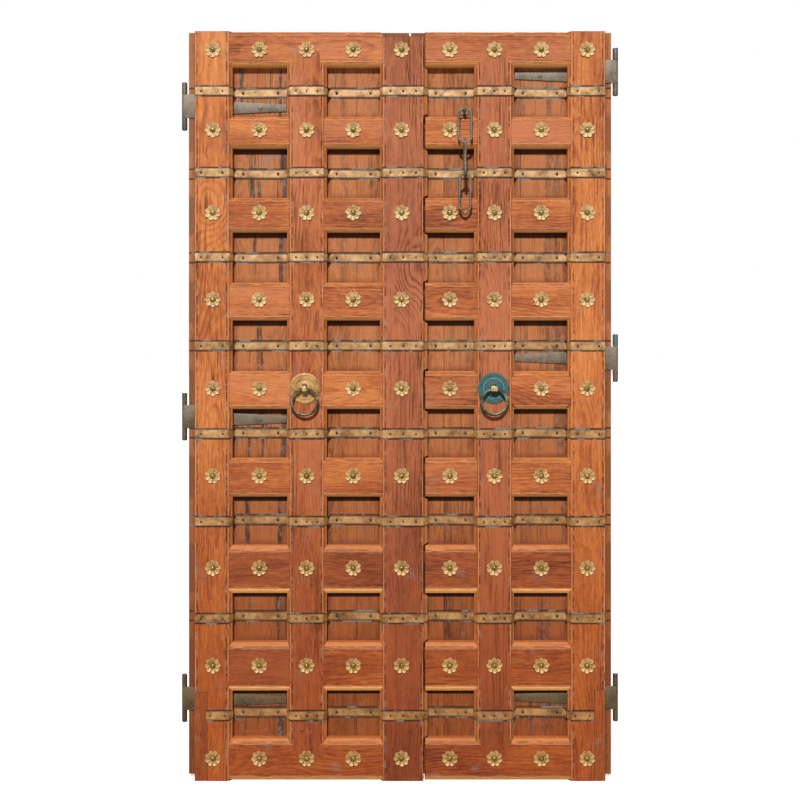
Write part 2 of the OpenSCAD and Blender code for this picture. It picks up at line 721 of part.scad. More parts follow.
// A link in the plane of X and Z, its outer top at the origin
module link(length, width) {
    bend_r = width / 2 - link_bar_r;
    side_l = length - width;
    translate([0, 0, -width / 2]) {
        for (s = [0, 1]) translate([0, 0, -s * side_l]) rotate([90, 0, 0]) rotate(s * 180)
            rotate_extrude(angle=180) translate([bend_r, 0]) circle(link_bar_r);
        for (x = [-bend_r, bend_r]) translate([x, 0, -side_l]) cylinder(r=link_bar_r, h=side_l);
    }
}
module chain_link(i, turn) {
    color(iron) in_place() translate([chain_x, chain_y, link_top(i)]) rotate(turn) link(link_l[i], link_w[i]);
}
module chain_staple() {
    color(iron) eye_bolt(chain_x, chain_y, staple_z, link_bar_r, shank_depth - cut);
}
module chain_link_1() { chain_link(0, 0); }
module chain_link_2() { chain_link(1, 90); }
module chain_link_3() { chain_link(2, 0); }

left_plank_1();
left_plank_2();
left_plank_3();
left_plank_4();
right_plank_1();
right_plank_2();
right_plank_3();
left_outer_stile();
left_middle_stile();
cover_stile();
right_middle_stile();
right_outer_stile();
left_top_rail();
left_bottom_rail();
right_top_rail();
right_bottom_rail();
left_hinge_side_rails();
left_meeting_side_rails();
right_meeting_side_rails();
right_hinge_side_rails();
left_repair_strip();
right_repair_strip();
repair_screw();
left_bands();
right_bands();
left_band_tacks();
right_band_tacks();
left_rosettes();
right_rosettes();
left_rosette_nails();
right_rosette_nails();
left_top_hinge_strap();
left_mid_hinge_strap();
left_low_hinge_strap();
right_top_hinge_strap();
right_mid_hinge_strap();
right_low_hinge_strap();
left_top_hinge_pin();
left_mid_hinge_pin();
left_low_hinge_pin();
right_top_hinge_pin();
right_mid_hinge_pin();
right_low_hinge_pin();
left_hinge_rivets();
right_hinge_rivets();
left_ring_plate();
left_ring_eye();
left_ring();
right_ring_plate();
right_ring_eye();
right_ring();
chain_staple();
chain_link_1();
chain_link_2();
chain_link_3();
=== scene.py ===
"""A carved double door of oiled teak: planks behind a grid of stiles and rails, brass bands,
flower rosettes, strap hinges, two ring handles and a latch chain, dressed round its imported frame.

Lengths are in metres. The door stands closed on z = 0, with its face towards -y."""

import json
import logging
import math
import random
from collections.abc import Callable
from dataclasses import dataclass, field
from enum import Enum
from typing import ClassVar

import bpy
import numpy as np
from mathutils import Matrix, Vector

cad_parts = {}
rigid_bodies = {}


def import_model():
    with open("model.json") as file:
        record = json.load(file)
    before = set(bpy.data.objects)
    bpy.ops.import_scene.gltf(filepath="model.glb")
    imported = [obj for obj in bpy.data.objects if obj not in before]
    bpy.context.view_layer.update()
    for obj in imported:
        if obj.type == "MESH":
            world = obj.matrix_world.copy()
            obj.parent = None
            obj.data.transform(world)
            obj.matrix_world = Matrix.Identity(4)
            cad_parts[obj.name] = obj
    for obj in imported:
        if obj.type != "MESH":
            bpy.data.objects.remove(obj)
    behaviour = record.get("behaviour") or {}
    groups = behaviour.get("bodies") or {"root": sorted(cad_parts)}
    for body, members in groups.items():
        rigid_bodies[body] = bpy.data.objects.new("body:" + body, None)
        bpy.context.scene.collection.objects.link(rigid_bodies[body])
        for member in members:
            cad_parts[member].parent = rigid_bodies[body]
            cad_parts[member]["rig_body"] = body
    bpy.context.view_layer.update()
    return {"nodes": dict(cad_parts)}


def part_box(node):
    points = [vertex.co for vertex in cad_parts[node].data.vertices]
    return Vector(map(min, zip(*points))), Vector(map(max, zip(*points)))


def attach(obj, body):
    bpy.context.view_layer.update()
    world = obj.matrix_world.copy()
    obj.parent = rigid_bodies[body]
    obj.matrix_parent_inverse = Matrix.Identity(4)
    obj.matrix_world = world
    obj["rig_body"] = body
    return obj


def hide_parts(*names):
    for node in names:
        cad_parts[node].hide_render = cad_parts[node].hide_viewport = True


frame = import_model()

LOG = logging.getLogger("door")
MM = 0.001
MERGE = 0.01 * MM
SIDES = ("left", "right")
FORWARD = (math.pi / 2, 0.0, 0.0)  # turns what faces up towards the viewer

Place = tuple[float, float, float]
Colour = Place
Piece = bpy.types.Object
Corner = Vector
Box = tuple[Corner, Corner]
Spans = tuple[tuple[float, float], ...]


class Slot(Enum):
    """The finishes that the door's record names."""

    PLANKS = "plank_wood"
    GRID = "grid_wood"
    REPAIR = "repair_wood"
    BANDS = "band_brass"
    TACKS = "tack_iron"
    ROSETTES = "rosette_brass"
    NAILS = "nail_brass"
    HINGES = "hinge_iron"
    PINS = "pin_iron"
    LEFT_PLATE = "plate_brass"
    RIGHT_PLATE = "plate_verdigris"
    EYES = "eye_brass"
    LEFT_RING = "ring_bronze"
    RIGHT_RING = "ring_verdigris"
    CHAIN = "chain_iron"
    SCREW = "screw_steel"


class Grain(Enum):
    """Which way a board's grain runs on the closed door."""

    UPRIGHT = "upright"
    LEVEL = "level"


def linear(red: int, green: int, blue: int) -> Colour:
    """Turn a colour from 0 to 255 into the shader's linear values."""
    shares = (red / 255, green / 255, blue / 255)
    return tuple(c / 12.92 if c <= 0.04045 else ((c + 0.055) / 1.055) ** 2.4 for c in shares)


def hues(**colours: tuple[int, int, int]) -> dict[str, Colour]:
    """Turn named colours from 0 to 255 into the settings of a finish."""
    return {name: linear(*colour) for name, colour in colours.items()}


# ---------------------------------------------------------------- shader maths


class Wire:
    """One value in a shader. Arithmetic on it adds Math nodes."""

    def __init__(self, shader: "Shader", socket: bpy.types.NodeSocket) -> None:
        """Keep the shader and the socket that gives the value.

        Args:
            shader: the shader that the value belongs to.
            socket: the output socket that gives it.
        """
        self.shader = shader
        self.socket = socket

    def _maths(self, operation: str, *values: "Wire | float") -> "Wire":
        """Add a Math node.

        Args:
            operation: the node's operation.
            values: its inputs in order.

        Returns:
            The node's result.
        """
        node = self.shader.add("ShaderNodeMath", {"operation": operation}, dict(enumerate(values)))
        return Wire(self.shader, node.outputs[0])

    def __add__(self, other: "Wire | float") -> "Wire":
        """Add."""
        return self._maths("ADD", self, other)

    __radd__ = __add__

    def __sub__(self, other: "Wire | float") -> "Wire":
        """Subtract."""
        return self._maths("SUBTRACT", self, other)

    def __rsub__(self, other: "Wire | float") -> "Wire":
        """Subtract from."""
        return self._maths("SUBTRACT", other, self)

    def __mul__(self, other: "Wire | float") -> "Wire":
        """Multiply."""
        return self._maths("MULTIPLY", self, other)

    __rmul__ = __mul__

    def __neg__(self) -> "Wire":
        """Change the sign."""
        return self._maths("MULTIPLY", self, -1.0)

    def size(self) -> "Wire":
        """Drop the sign."""
        return self._maths("ABSOLUTE", self)

    def least(self, other: "Wire | float") -> "Wire":
        """Take the smaller."""
        return self._maths("MINIMUM", self, other)

    def most(self, other: "Wire | float") -> "Wire":
        """Take the larger."""
        return self._maths("MAXIMUM", self, other)

    def part(self) -> "Wire":
        """Keep what is left over the last whole number."""
        return self._maths("FRACT", self)

    def rise(self, low: float, high: float) -> "Wire":
        """Go smoothly from 0 at low to 1 at high.

        Args:
            low: where the result is still 0.
            high: where the result has reached 1. It may be under low.

        Returns:
            The eased value.
        """
        sockets = {"Value": self, "From Min": low, "From Max": high}
        node = self.shader.add("ShaderNodeMapRange", {"interpolation_type": "SMOOTHSTEP"}, sockets)
        return Wire(self.shader, node.outputs["Result"])

    def stripe(self, centre: float, half: float) -> "Wire":
        """Give 1 at the centre, falling to 0 at half either side."""
        return (self - centre).size().rise(half, 0.0)


class Shader:
    """A material's nodes, added one at a time."""

    def __init__(self, name: str) -> None:
        """Start an empty Principled material.

        Args:
            name: the material's name.
        """
        self.material = bpy.data.materials.new(name)
        self.material.use_nodes = True
        self.tree = self.material.node_tree
        self.surface = self.tree.nodes["Principled BSDF"]

    def add(self, kind: str, settings: dict | None = None,
            sockets: dict | None = None) -> bpy.types.Node:
        """Add one node.

        Args:
            kind: the node's type.
            settings: its own properties. "stops" gives a ramp's places and colours.
            sockets: the values or wires of its inputs, by name or number.

        Returns:
            The node.
        """
        node = self.tree.nodes.new(kind)
        for key, value in (settings or {}).items():
            if key == "stops":
                elements = node.color_ramp.elements
                while len(elements) < len(value):
                    elements.new(1.0)
                for element, (place, colour) in zip(elements, value):
                    element.position, element.color = place, (*colour, 1.0)
            else:
                setattr(node, key, value)
        for key, value in (sockets or {}).items():
            if isinstance(value, Wire):
                self.tree.links.new(value.socket, node.inputs[key])
            elif isinstance(value, tuple) and node.inputs[key].type == "RGBA":
                node.inputs[key].default_value = (*value, 1.0)
            else:
                node.inputs[key].default_value = value
        return node

    def place(self) -> Wire:
        """Give the point on the closed door, in metres."""
        return Wire(self, self.add("ShaderNodeTexCoord").outputs["Object"])

    def mark(self, name: str, output: str = "Vector") -> Wire:
        """Read an attribute of the mesh."""
        return Wire(self, self.add("ShaderNodeAttribute", {"attribute_name": name}).outputs[output])

    def parts(self, vector: Wire) -> list[Wire]:
        """Split a vector into its three numbers."""
        node = self.add("ShaderNodeSeparateXYZ", None, {0: vector})
        return [Wire(self, output) for output in node.outputs]

    def vectors(self, operation: str, one: Wire, other: Wire | Place) -> Wire:
        """Work out a vector from two."""
        node = self.add("ShaderNodeVectorMath", {"operation": operation}, {0: one, 1: other})
        return Wire(self, node.outputs[0])

    def far(self, x: Wire, y: Wire) -> Wire:
        """Give how far a point lies from the middle.

        Args:
            x: how far it lies along one way.
            y: how far it lies along the other.

        Returns:
            Its distance.
        """
        flat = Wire(self, self.add("ShaderNodeCombineXYZ", None, {0: x, 1: y, 2: 0.0}).outputs[0])
        node = self.add("ShaderNodeVectorMath", {"operation": "LENGTH"}, {0: flat})
        return Wire(self, node.outputs["Value"])

    def beyond(self, value: Wire, spans: Spans) -> Wire:
        """Give how far a value lies outside the nearest of some spans.

        Args:
            value: the value.
            spans: the lowest and highest value of each span.

        Returns:
            The distance, under 0 inside a span.
        """
        nearest: Wire | None = None
        for low, high in spans:
            gap = (value - (low + high) / 2).size() - (high - low) / 2
            nearest = gap if nearest is None else nearest.least(gap)
        return nearest

    def noise(self, vector: Wire, scales: Place, detail: float = 2.0, rough: float = 0.5) -> Wire:
        """Cloudy variation about 0.5.

        Args:
            vector: the point, in metres.
            scales: how many clouds a metre holds along each axis.
            detail: how many finer layers are added.
            rough: how strong the finer layers are.

        Returns:
            The cloud's value.
        """
        stretched = self.vectors("MULTIPLY", vector, scales)
        sockets = {"Vector": stretched, "Scale": 1.0, "Detail": detail, "Roughness": rough}
        return Wire(self, self.add("ShaderNodeTexNoise", None, sockets).outputs["Fac"])

    def cells(self, vector: Wire, scales: Place, feature: str = "F1") -> Wire:
        """Distance to scattered points.

        Args:
            vector: the point, in metres.
            scales: how many points a metre holds along each axis.
            feature: which distance it is.

        Returns:
            The distance.
        """
        stretched = self.vectors("MULTIPLY", vector, scales)
        sockets = {"Vector": stretched, "Scale": 1.0}
        node = self.add("ShaderNodeTexVoronoi", {"feature": feature}, sockets)
        return Wire(self, node.outputs["Distance"])

    def ramp(self, value: Wire, *stops: tuple[float, Colour]) -> Wire:
        """Turn a value into a colour along a ramp."""
        node = self.add("ShaderNodeValToRGB", {"stops": stops}, {0: value})
        return Wire(self, node.outputs["Color"])

    def blend(self, share: Wire | float, one: Wire | Colour, other: Wire | Colour,
              mode: str = "MIX") -> Wire:
        """Blend two colours.

        Args:
            share: how much of the second colour there is.
            one: the first colour.
            other: the second colour.
            mode: how they blend.

        Returns:
            The blended colour.
        """
        settings = {"data_type": "RGBA", "blend_type": mode, "clamp_factor": True}
        node = self.add("ShaderNodeMix", settings, {0: share, 6: one, 7: other})
        return Wire(self, node.outputs[2])

    def shaded(self, height: Wire, top: float, foot: float, colour: Wire, shade: Colour) -> Wire:
        """Darken a colour towards the door's foot.

        Args:
            height: the height on the door.
            top: the height where the darkening starts.
            foot: the height where it is complete.
            colour: the colour.
            shade: what the colour is multiplied by at the foot.

        Returns:
            The darkened colour.
        """
        return self.blend(height.rise(top, foot), colour, self.blend(1.0, colour, shade, "MULTIPLY"))

    def dress(self, wires: dict[str, Wire], **constants: float) -> None:
        """Drive the surface.

        Args:
            wires: what varies over it, by the name of its socket.
            constants: sockets that stay the same all over.
        """
        for name, wire in wires.items():
            self.tree.links.new(wire.socket, self.surface.inputs[name])
        for name, value in constants.items():
            self.surface.inputs[name.replace("_", " ")].default_value = value

    def finish(self, colour: Wire, rough: Wire, relief: Wire, depth: float, strength: float = 1.0,
               metal: Wire | None = None, **constants: float) -> bpy.types.Material:
        """Drive the surface.

        Args:
            colour: its colour.
            rough: its roughness.
            relief: its height, from 0 to 1.
            depth: how deep that height goes, in metres.
            strength: the relief's strength.
            metal: its metallic share, if that varies.
            constants: sockets that stay the same all over.

        Returns:
            The finished material.
        """
        sockets = {"Strength": strength, "Distance": depth, "Height": relief}
        bump = Wire(self, self.add("ShaderNodeBump", None, sockets).outputs["Normal"])
        wires = {"Base Color": colour, "Roughness": rough, "Normal": bump}
        if metal is not None:
            wires["Metallic"] = metal
        self.dress(wires, **constants)
        return self.material


# ---------------------------------------------------------------- the workbench


class Bench:
    """The moves that every piece is made with."""

    @staticmethod
    def pick(*pieces: Piece) -> None:
        """Select some pieces alone.

        Args:
            pieces: the pieces, of which the first becomes the active one.
        """
        bpy.ops.object.select_all(action="DESELECT")
        for piece in pieces:
            piece.select_set(True)
        bpy.context.view_layer.objects.active = pieces[0]

    @staticmethod
    def start(add: Callable[..., set[str]], name: str, scale: Place = (1.0, 1.0, 1.0),
              **settings: object) -> Piece:
        """Add a primitive on its own, and put its place, turn and scale into its mesh.

        Args:
            add: the operator that adds the primitive.
            name: the piece's name.
            scale: its scale along its own axes.
            settings: what the operator is given.

        Returns:
            The piece.
        """
        bpy.ops.object.select_all(action="DESELECT")
        add(**settings)
        piece = bpy.context.active_object
        piece.name, piece.scale = name, scale
        bpy.ops.object.transform_apply(location=True, rotation=True, scale=True)
        return piece

    @staticmethod
    def edit(piece: Piece, whole: bool = False) -> None:
        """Open a piece for shaping.

        Args:
            piece: the piece.
            whole: whether all of it is selected, and not nothing.
        """
        Bench.pick(piece)
        bpy.ops.object.mode_set(mode="EDIT")
        bpy.ops.mesh.select_all(action="SELECT" if whole else "DESELECT")

    @staticmethod
    def close() -> None:
        """Go back to whole pieces."""
        bpy.ops.object.mode_set(mode="OBJECT")

    @staticmethod
    def faces(piece: Piece, wanted: Callable[[Corner, Corner], bool]) -> None:
        """Select the open piece's faces whose centre and normal pass a test.

        Args:
            piece: the piece that is open.
            wanted: a test of a face's centre and normal.
        """
        Bench.close()
        for item in (*piece.data.vertices, *piece.data.edges):
            item.select = False
        for face in piece.data.polygons:
            face.select = bool(wanted(face.center, face.normal))
        bpy.ops.object.mode_set(mode="EDIT")
        bpy.ops.mesh.select_mode(type="FACE")

    @staticmethod
    def cut(point: Place, normal: Place, **settings: bool) -> None:
        """Cut the whole of the open mesh along a plane."""
        bpy.ops.mesh.select_all(action="SELECT")
        bpy.ops.mesh.bisect(plane_co=point, plane_no=normal, **settings)

    @staticmethod
    def extrude(*step: float) -> None:
        """Draw the selected faces out by a step."""
        bpy.ops.mesh.extrude_region_move(TRANSFORM_OT_translate={"value": step})

    @staticmethod
    def apply(piece: Piece, kind: str, **settings: object) -> None:
        """Add a modifier with its settings, and apply it.

        Args:
            piece: the piece.
            kind: the modifier's type.
            settings: its properties.
        """
        Bench.pick(piece)
        modifier = piece.modifiers.new(kind.lower(), kind)
        for key, value in settings.items():
            setattr(modifier, key, value)
        bpy.ops.object.modifier_apply(modifier=modifier.name)

    @staticmethod
    def ease(piece: Piece, width: float, sharp: float = 40.0, segments: int = 2) -> None:
        """Round a piece's sharp edges.

        Args:
            piece: the piece.
            width: how much of each edge is taken off.
            sharp: the least angle of an edge that is rounded, in degrees.
            segments: how many flats make the round.
        """
        Bench.apply(piece, "BEVEL", width=width, segments=segments, limit_method="ANGLE",
                    angle_limit=math.radians(sharp), use_clamp_overlap=True)

    @staticmethod
    def settle(piece: Piece, smooth: float = 40.0) -> Piece:
        """Put a piece's place into its mesh and smooth its shading.

        Args:
            piece: the piece.
            smooth: the sharpest angle that is still shaded smooth, in degrees.

        Returns:
            The piece.
        """
        Bench.pick(piece)
        bpy.ops.object.transform_apply(location=True, rotation=True, scale=True)
        bpy.ops.object.shade_smooth_by_angle(angle=math.radians(smooth))
        return piece

    @staticmethod
    def outward() -> None:
        """Merge the open mesh's doubles and turn its faces outwards."""
        bpy.ops.mesh.select_all(action="SELECT")
        bpy.ops.mesh.remove_doubles(threshold=MERGE)
        bpy.ops.mesh.normals_make_consistent(inside=False)

    @staticmethod
    def solids(node: str) -> list[Piece]:
        """Copy a node's solids as separate, merged pieces.

        Args:
            node: the node's name.

        Returns:
            One piece for each solid, from low to high and then from left to right.
        """
        mesh = frame["nodes"][node].data.copy()
        mesh.materials.clear()
        copy = bpy.data.objects.new(node + "_blank", mesh)
        bpy.context.scene.collection.objects.link(copy)
        Bench.edit(copy)
        bpy.ops.mesh.customdata_custom_splitnormals_clear()
        bpy.ops.mesh.select_all(action="SELECT")
        bpy.ops.mesh.remove_doubles(threshold=MERGE)
        bpy.ops.mesh.dissolve_limited(angle_limit=math.radians(0.5))
        bpy.ops.mesh.separate(type="LOOSE")
        Bench.close()
        found = list(bpy.context.selected_objects)
        lowest = {piece.name: Bench.box(piece)[0] for piece in found}
        return sorted(found, key=lambda piece: (round(lowest[piece.name].z, 3), lowest[piece.name].x))

    @staticmethod
    def box(piece: Piece) -> Box:
        """Give a piece's lowest and highest corner."""
        places = Bench.points(piece)
        return Vector(places.min(0)), Vector(places.max(0))

    @staticmethod
    def boxes(node: str) -> list[Box]:
        """Give the box of each solid in a node.

        Args:
            node: the node's name.

        Returns:
            The boxes, from low to high and then from left to right.
        """
        blanks = Bench.solids(node)
        found = [Bench.box(blank) for blank in blanks]
        for blank in blanks:
            bpy.data.objects.remove(blank)
        return found

    @staticmethod
    def node_box(node: str) -> Box:
        """Give a node's lowest and highest corner."""
        low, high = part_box(node)
        return Vector(low), Vector(high)

    @staticmethod
    def points(piece: Piece) -> np.ndarray:
        """Give a mesh's points.

        Args:
            piece: the piece.

        Returns:
            One row for each point.
        """
        flat = np.empty(len(piece.data.vertices) * 3, np.float32)
        piece.data.vertices.foreach_get("co", flat)
        return flat.reshape(-1, 3)

    @staticmethod
    def move_points(piece: Piece, places: np.ndarray) -> None:
        """Move a mesh's points to new places, one row each."""
        piece.data.vertices.foreach_set("co", places.astype(np.float32).ravel())
        piece.data.update()

    @staticmethod
    def mark(piece: Piece, name: str, rows: np.ndarray | Place | float,
             kind: str = "FLOAT_VECTOR") -> None:
        """Store a value for each point of a mesh, for its finish to read.

        Args:
            piece: the piece.
            name: the attribute's name.
            rows: one value, or row of values, for each point or for all of them.
            kind: the attribute's type.
        """
        kinds = {"FLOAT": ("value", 1), "FLOAT_VECTOR": ("vector", 3), "FLOAT_COLOR": ("color", 4)}
        key, width = kinds[kind]
        rows = np.reshape(np.asarray(rows, np.float32), (-1, width))
        rows = np.broadcast_to(rows, (len(piece.data.vertices), width))
        piece.data.attributes.new(name, kind, "POINT").data.foreach_set(key, rows.ravel())

    @staticmethod
    def any_lot(rng: random.Random) -> Place:
        """Draw where in its pattern a piece begins."""
        return tuple(rng.uniform(-20, 20) for _ in range(3))

    @staticmethod
    def copy(piece: Piece, name: str) -> Piece:
        """Copy a piece with its own mesh.

        Args:
            piece: the piece.
            name: the copy's name.

        Returns:
            The copy.
        """
        twin = bpy.data.objects.new(name, piece.data.copy())
        bpy.context.scene.collection.objects.link(twin)
        return twin

    @staticmethod
    def join(pieces: list[Piece], name: str) -> Piece:
        """Join pieces into one.

        Args:
            pieces: the pieces.
            name: the name of the result.

        Returns:
            The joined piece.
        """
        Bench.pick(*pieces)
        if len(pieces) > 1:
            bpy.ops.object.join()
        pieces[0].name = name
        return pieces[0]

    @staticmethod
    def hang(piece: Piece, node: str, slot: Slot, finish: bpy.types.Material) -> None:
        """Give a piece its finish and its body, and hide the node that it stands for.

        Args:
            piece: the piece.
            node: the node.
            slot: the record's name for the finish; not used.
            finish: the material.
        """
        piece.data.materials.clear()
        piece.data.materials.append(finish)
        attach(piece, frame["nodes"][node]["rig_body"])
        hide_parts(node)
        LOG.info("%s: %d faces, stands for %s", piece.name, len(piece.data.polygons), node)


# ---------------------------------------------------------------- finishes


@dataclass(frozen=True)
class Figure:
    """Where a point lies on a board and on the door, and the pattern of the wood there."""

    place: Wire
    spot: Wire
    across: Wire
    depth: Wire
    height: Wire
    tone: Wire
    stain: Wire
    groove: Wire
    broad: Wire
    streak: Wire
    fibre: Wire
    mottle: Wire
    patch: Wire
    knot: Wire
    late: Wire


@dataclass(frozen=True)
class Timber:
    """Oiled old timber: growth rings, fibres, cracks, knots, worn arrises with a painted highlight,
    painted light on the chamfers, its neighbours' grime, and painted shade and shadow in the recesses
    and along the bands.

    It reads the marks that Joiner gives a board. A cloud's scales go across the grain, into the board
    and along the grain."""

    name: str
    bands: Spans
    face: float
    openings: tuple[Spans, Spans] | None = None
    short_band: float = 541 * MM
    pale: Colour = linear(201, 119, 58)
    warm: Colour = linear(166, 87, 42)
    deep: Colour = linear(104, 47, 20)
    rosy: Colour = linear(177, 101, 64)
    bright: Colour = linear(220, 143, 86)
    lit: Colour = linear(255, 184, 104)
    # dark of cracks, splits and joints, and of the painted shadows under the rails and bands
    crack: Colour = linear(38, 19, 11)
    dust: Colour = linear(118, 118, 114)
    teal: Colour = linear(98, 118, 120)
    rings: float = 150.0
    taper: float = 0.035
    contrast: float = 0.80
    saw_marks: float = 0.0
    splits: float = 0.52
    low_shade: Colour = (0.62, 0.44, 0.26)
    burr_shape: Place = (1.5, 0.0, 0.75)
    burr_reach: float = 0.115
    # how far across the door the painted shadow under the rails reaches
    roof_shadow_end: float = 0.48
    relief: float = 1.6 * MM

    def build(self) -> bpy.types.Material:
        """Make the material.

        Returns:
            The material.
        """
        s = Shader(self.name)
        f = self.figure(s)
        colour = self.wood(s, f)
        colour, split = self.aged(s, f, colour)
        colour, furrow, joint = self.edged(s, f, colour)
        colour = self.soiled(s, f, colour)
        rough = 0.60 + (f.fibre - 0.5) * 0.25 + split * 0.2 + furrow * 0.2 - (f.broad - 0.5) * 0.3
        relief = (0.6 + (f.fibre - 0.5) * 0.5 + (f.streak - 0.5) * 0.55 - split * 0.7 - furrow * 0.6
                  - joint * 0.4 - f.late * 0.16)
        if self.saw_marks:
            relief = relief + (s.noise(f.spot, (10.0, 10.0, 240.0), 1.0) - 0.5) * self.saw_marks
        return s.finish(colour, rough, relief, self.relief, 0.7, Specular_IOR_Level=0.28)

    def figure(self, s: Shader) -> Figure:
        """Work out the clouds, streaks, fibres, knots and growth rings.

        Args:
            s: the shader.

        Returns:
            The figure.
        """
        grain, place = s.mark("grain"), s.place()
        tone, stain, groove = s.parts(s.mark("choice"))
        spot = s.vectors("ADD", grain, s.mark("lot"))
        across, back, height = s.parts(place)
        knot, swirl = self.knots(s, spot)
        away = s.vectors("MULTIPLY", s.vectors("SUBTRACT", place, s.mark("burr")), self.burr_shape)
        burr = s.far(s.parts(away)[0], s.parts(away)[2]).rise(self.burr_reach, 0.0)
        ring = self.ring(s, grain, spot, swirl + burr * 0.9)
        strong = s.noise(spot, (40.0, 40.0, 3.0), 2.0).rise(0.38, 0.62)
        late = ring.rise(0.30, 0.90) * ring.rise(1.0, 0.94)
        return Figure(
            place, spot, across, back - self.face, height, tone, stain, groove,
            broad=s.noise(spot, (9.0, 9.0, 2.6), 2.0, 0.55),
            streak=s.noise(spot, (150.0, 150.0, 5.5), 4.0, 0.70),
            fibre=s.noise(spot, (460.0, 460.0, 34.0), 2.0, 0.7),
            mottle=s.noise(spot, (75.0, 75.0, 40.0), 3.0, 0.7),
            patch=s.noise(place, (21.0, 21.0, 21.0), 3.0, 0.65),
            knot=knot, late=late * (0.35 + strong * 0.65) * (1.0 + burr * 1.1))

    def wood(self, s: Shader, f: Figure) -> Wire:
        """Colour the bare wood, rosier where its tone says so and darker towards the foot.

        Args:
            s: the shader.
            f: the figure.

        Returns:
            The colour.
        """
        fine = (f.streak - 0.5) * 0.52 + (f.fibre - 0.5) * 0.66 + (f.mottle - 0.5) * 0.42
        mix = (0.515 + (f.broad - 0.5) * 0.62 + (fine - f.late * 0.17) * self.contrast
               + s.mark("shade", "Fac"))
        colour = s.ramp(mix, (0.16, self.deep), (0.40, self.warm), (0.60, self.pale),
                        (0.80, self.bright))
        faded = s.ramp(mix, (0.12, self.deep), (0.56, self.rosy), (0.92, self.pale))
        colour = s.blend((f.tone + (f.broad - 0.5) * 1.2).rise(0.1, 0.9), colour, faded)
        return s.shaded(f.height, 1.35, 0.2, colour, self.low_shade)

    def aged(self, s: Shader, f: Figure, colour: Wire) -> tuple[Wire, Wire]:
        """Add stains, cracks, specks and dust.

        Args:
            s: the shader.
            f: the figure.
            colour: the colour so far.

        Returns:
            The colour, and where the wood is split.
        """
        run = s.noise(f.spot, (44.0, 44.0, 1.6), 3.0, 0.6).rise(0.55, 0.60) * f.stain
        colour = s.blend(run * 0.8, colour, s.blend(f.mottle.rise(0.42, 0.75), self.crack, self.dust))
        split = (s.noise(f.spot, (55.0, 55.0, 1.5), 3.0, 0.6) - 0.5).size().rise(0.018, 0.005)
        split = (split * s.noise(f.spot, (14.0, 14.0, 2.8), 1.0).rise(0.57, 0.64)).most(f.knot)
        colour = s.blend(split * self.splits, colour, self.crack)
        specks = s.noise(f.place, (210.0, 210.0, 210.0), 2.0, 0.6).rise(0.66, 0.74)
        colour = s.blend(specks * 0.45, colour, self.crack)
        worn = s.noise(f.place, (15.0, 15.0, 15.0), 4.0, 0.7).rise(0.60, 0.74)
        return s.blend(worn * 0.35, colour, self.dust), split

    def edged(self, s: Shader, f: Figure, colour: Wire) -> tuple[Wire, Wire, Wire]:
        """Add painted light on the chamfer and its lines, a painted highlight past the face's first
        edge, the seam, the worn arris with its painted highlight, the furrow and the end joint.

        Args:
            s: the shader.
            f: the figure.
            colour: the colour so far.

        Returns:
            The colour, the furrow and the joint.
        """
        across, ends, under = self.margins(s)
        # painted light: the chamfers are lightened to stand in for light that their slope does not
        # catch
        painted_chamfer_light = (-across).rise(0.0, 1.4 * MM) * (0.3 + f.mottle * 0.5)
        colour = s.blend(painted_chamfer_light, colour, s.blend(f.streak, self.pale, self.bright))
        line = (across + 4.4 * MM).stripe(0.0, 1.6 * MM) * f.patch.rise(0.36, 0.5)
        colour = s.blend(line * 0.75, colour, self.crack)
        # painted highlight: a bright lit line just past the face's first edge, the lower chamfer on
        # rails and the left edge on planks
        lower_chamfer_highlight = under.rise(0.0, 1.4 * MM) * (0.6 + f.mottle * 0.4) * f.groove.rise(0.9, 0.5)
        colour = s.blend(lower_chamfer_highlight, colour, self.lit)
        seam = (across + 1.4 * MM).stripe(0.0, 1.5 * MM) * f.patch.rise(0.42, 0.54)
        colour = s.blend(seam * 0.75, colour, self.crack)
        # a lighter line along the long edges: wear, and a painted highlight
        arris_wear_and_highlight = across.stripe(1.2 * MM, 2.2 * MM) * f.patch.rise(0.34, 0.50) * f.groove.rise(0.0, 0.25)
        colour = s.blend(arris_wear_and_highlight * 0.62, colour, self.bright)
        furrow = across.stripe(5.5 * MM, 2.8 * MM) * f.patch.rise(0.36, 0.50) * f.groove
        filled = s.blend(f.mottle.rise(0.46, 0.60), self.crack, self.dust)
        colour = s.blend(furrow * 0.8, colour, filled)
        joint = ends.stripe(0.0, 2.4 * MM) * f.patch.rise(0.3, 0.5)
        return s.blend(joint * 0.8, colour, self.crack), furrow, joint

    def soiled(self, s: Shader, f: Figure, colour: Wire) -> Wire:
        """Add grime and painted shadow along the bands, and painted shade in the recess corners and
        painted shadow under the rails, on the face alone.

        Args:
            s: the shader.
            f: the figure.
            colour: the colour so far.

        Returns:
            The colour.
        """
        # along each band's edges the wood is darkened: grime above the band and painted shadow under
        # it
        band_dirt_and_shadow = s.beyond(f.height, self.bands).stripe(1.2 * MM, 4.4 * MM)
        past = f.across.size().rise(self.short_band, self.short_band + 4 * MM)
        band_dirt_and_shadow = band_dirt_and_shadow * (1.0 - past * f.height.rise(0.30, 0.28)) * f.depth.rise(5 * MM, 2 * MM)
        line = s.blend(f.patch.rise(0.50, 0.62), self.crack, self.teal)
        colour = s.blend((band_dirt_and_shadow * 1.25).least(0.92), colour, line)
        if not self.openings:
            return colour
        wide, high = self.openings
        front = f.depth.rise(8 * MM, 0.0)
        corner = s.beyond(f.across, wide).least(s.beyond(f.height, high))
        # painted shade: the plank is darkened towards the recess corners, where shade gathers
        painted_corner_shade = (corner + (f.patch - 0.5) * 0.024).rise(18 * MM, -2 * MM) * front
        colour = s.blend(painted_corner_shade * 0.55, colour, self.deep)
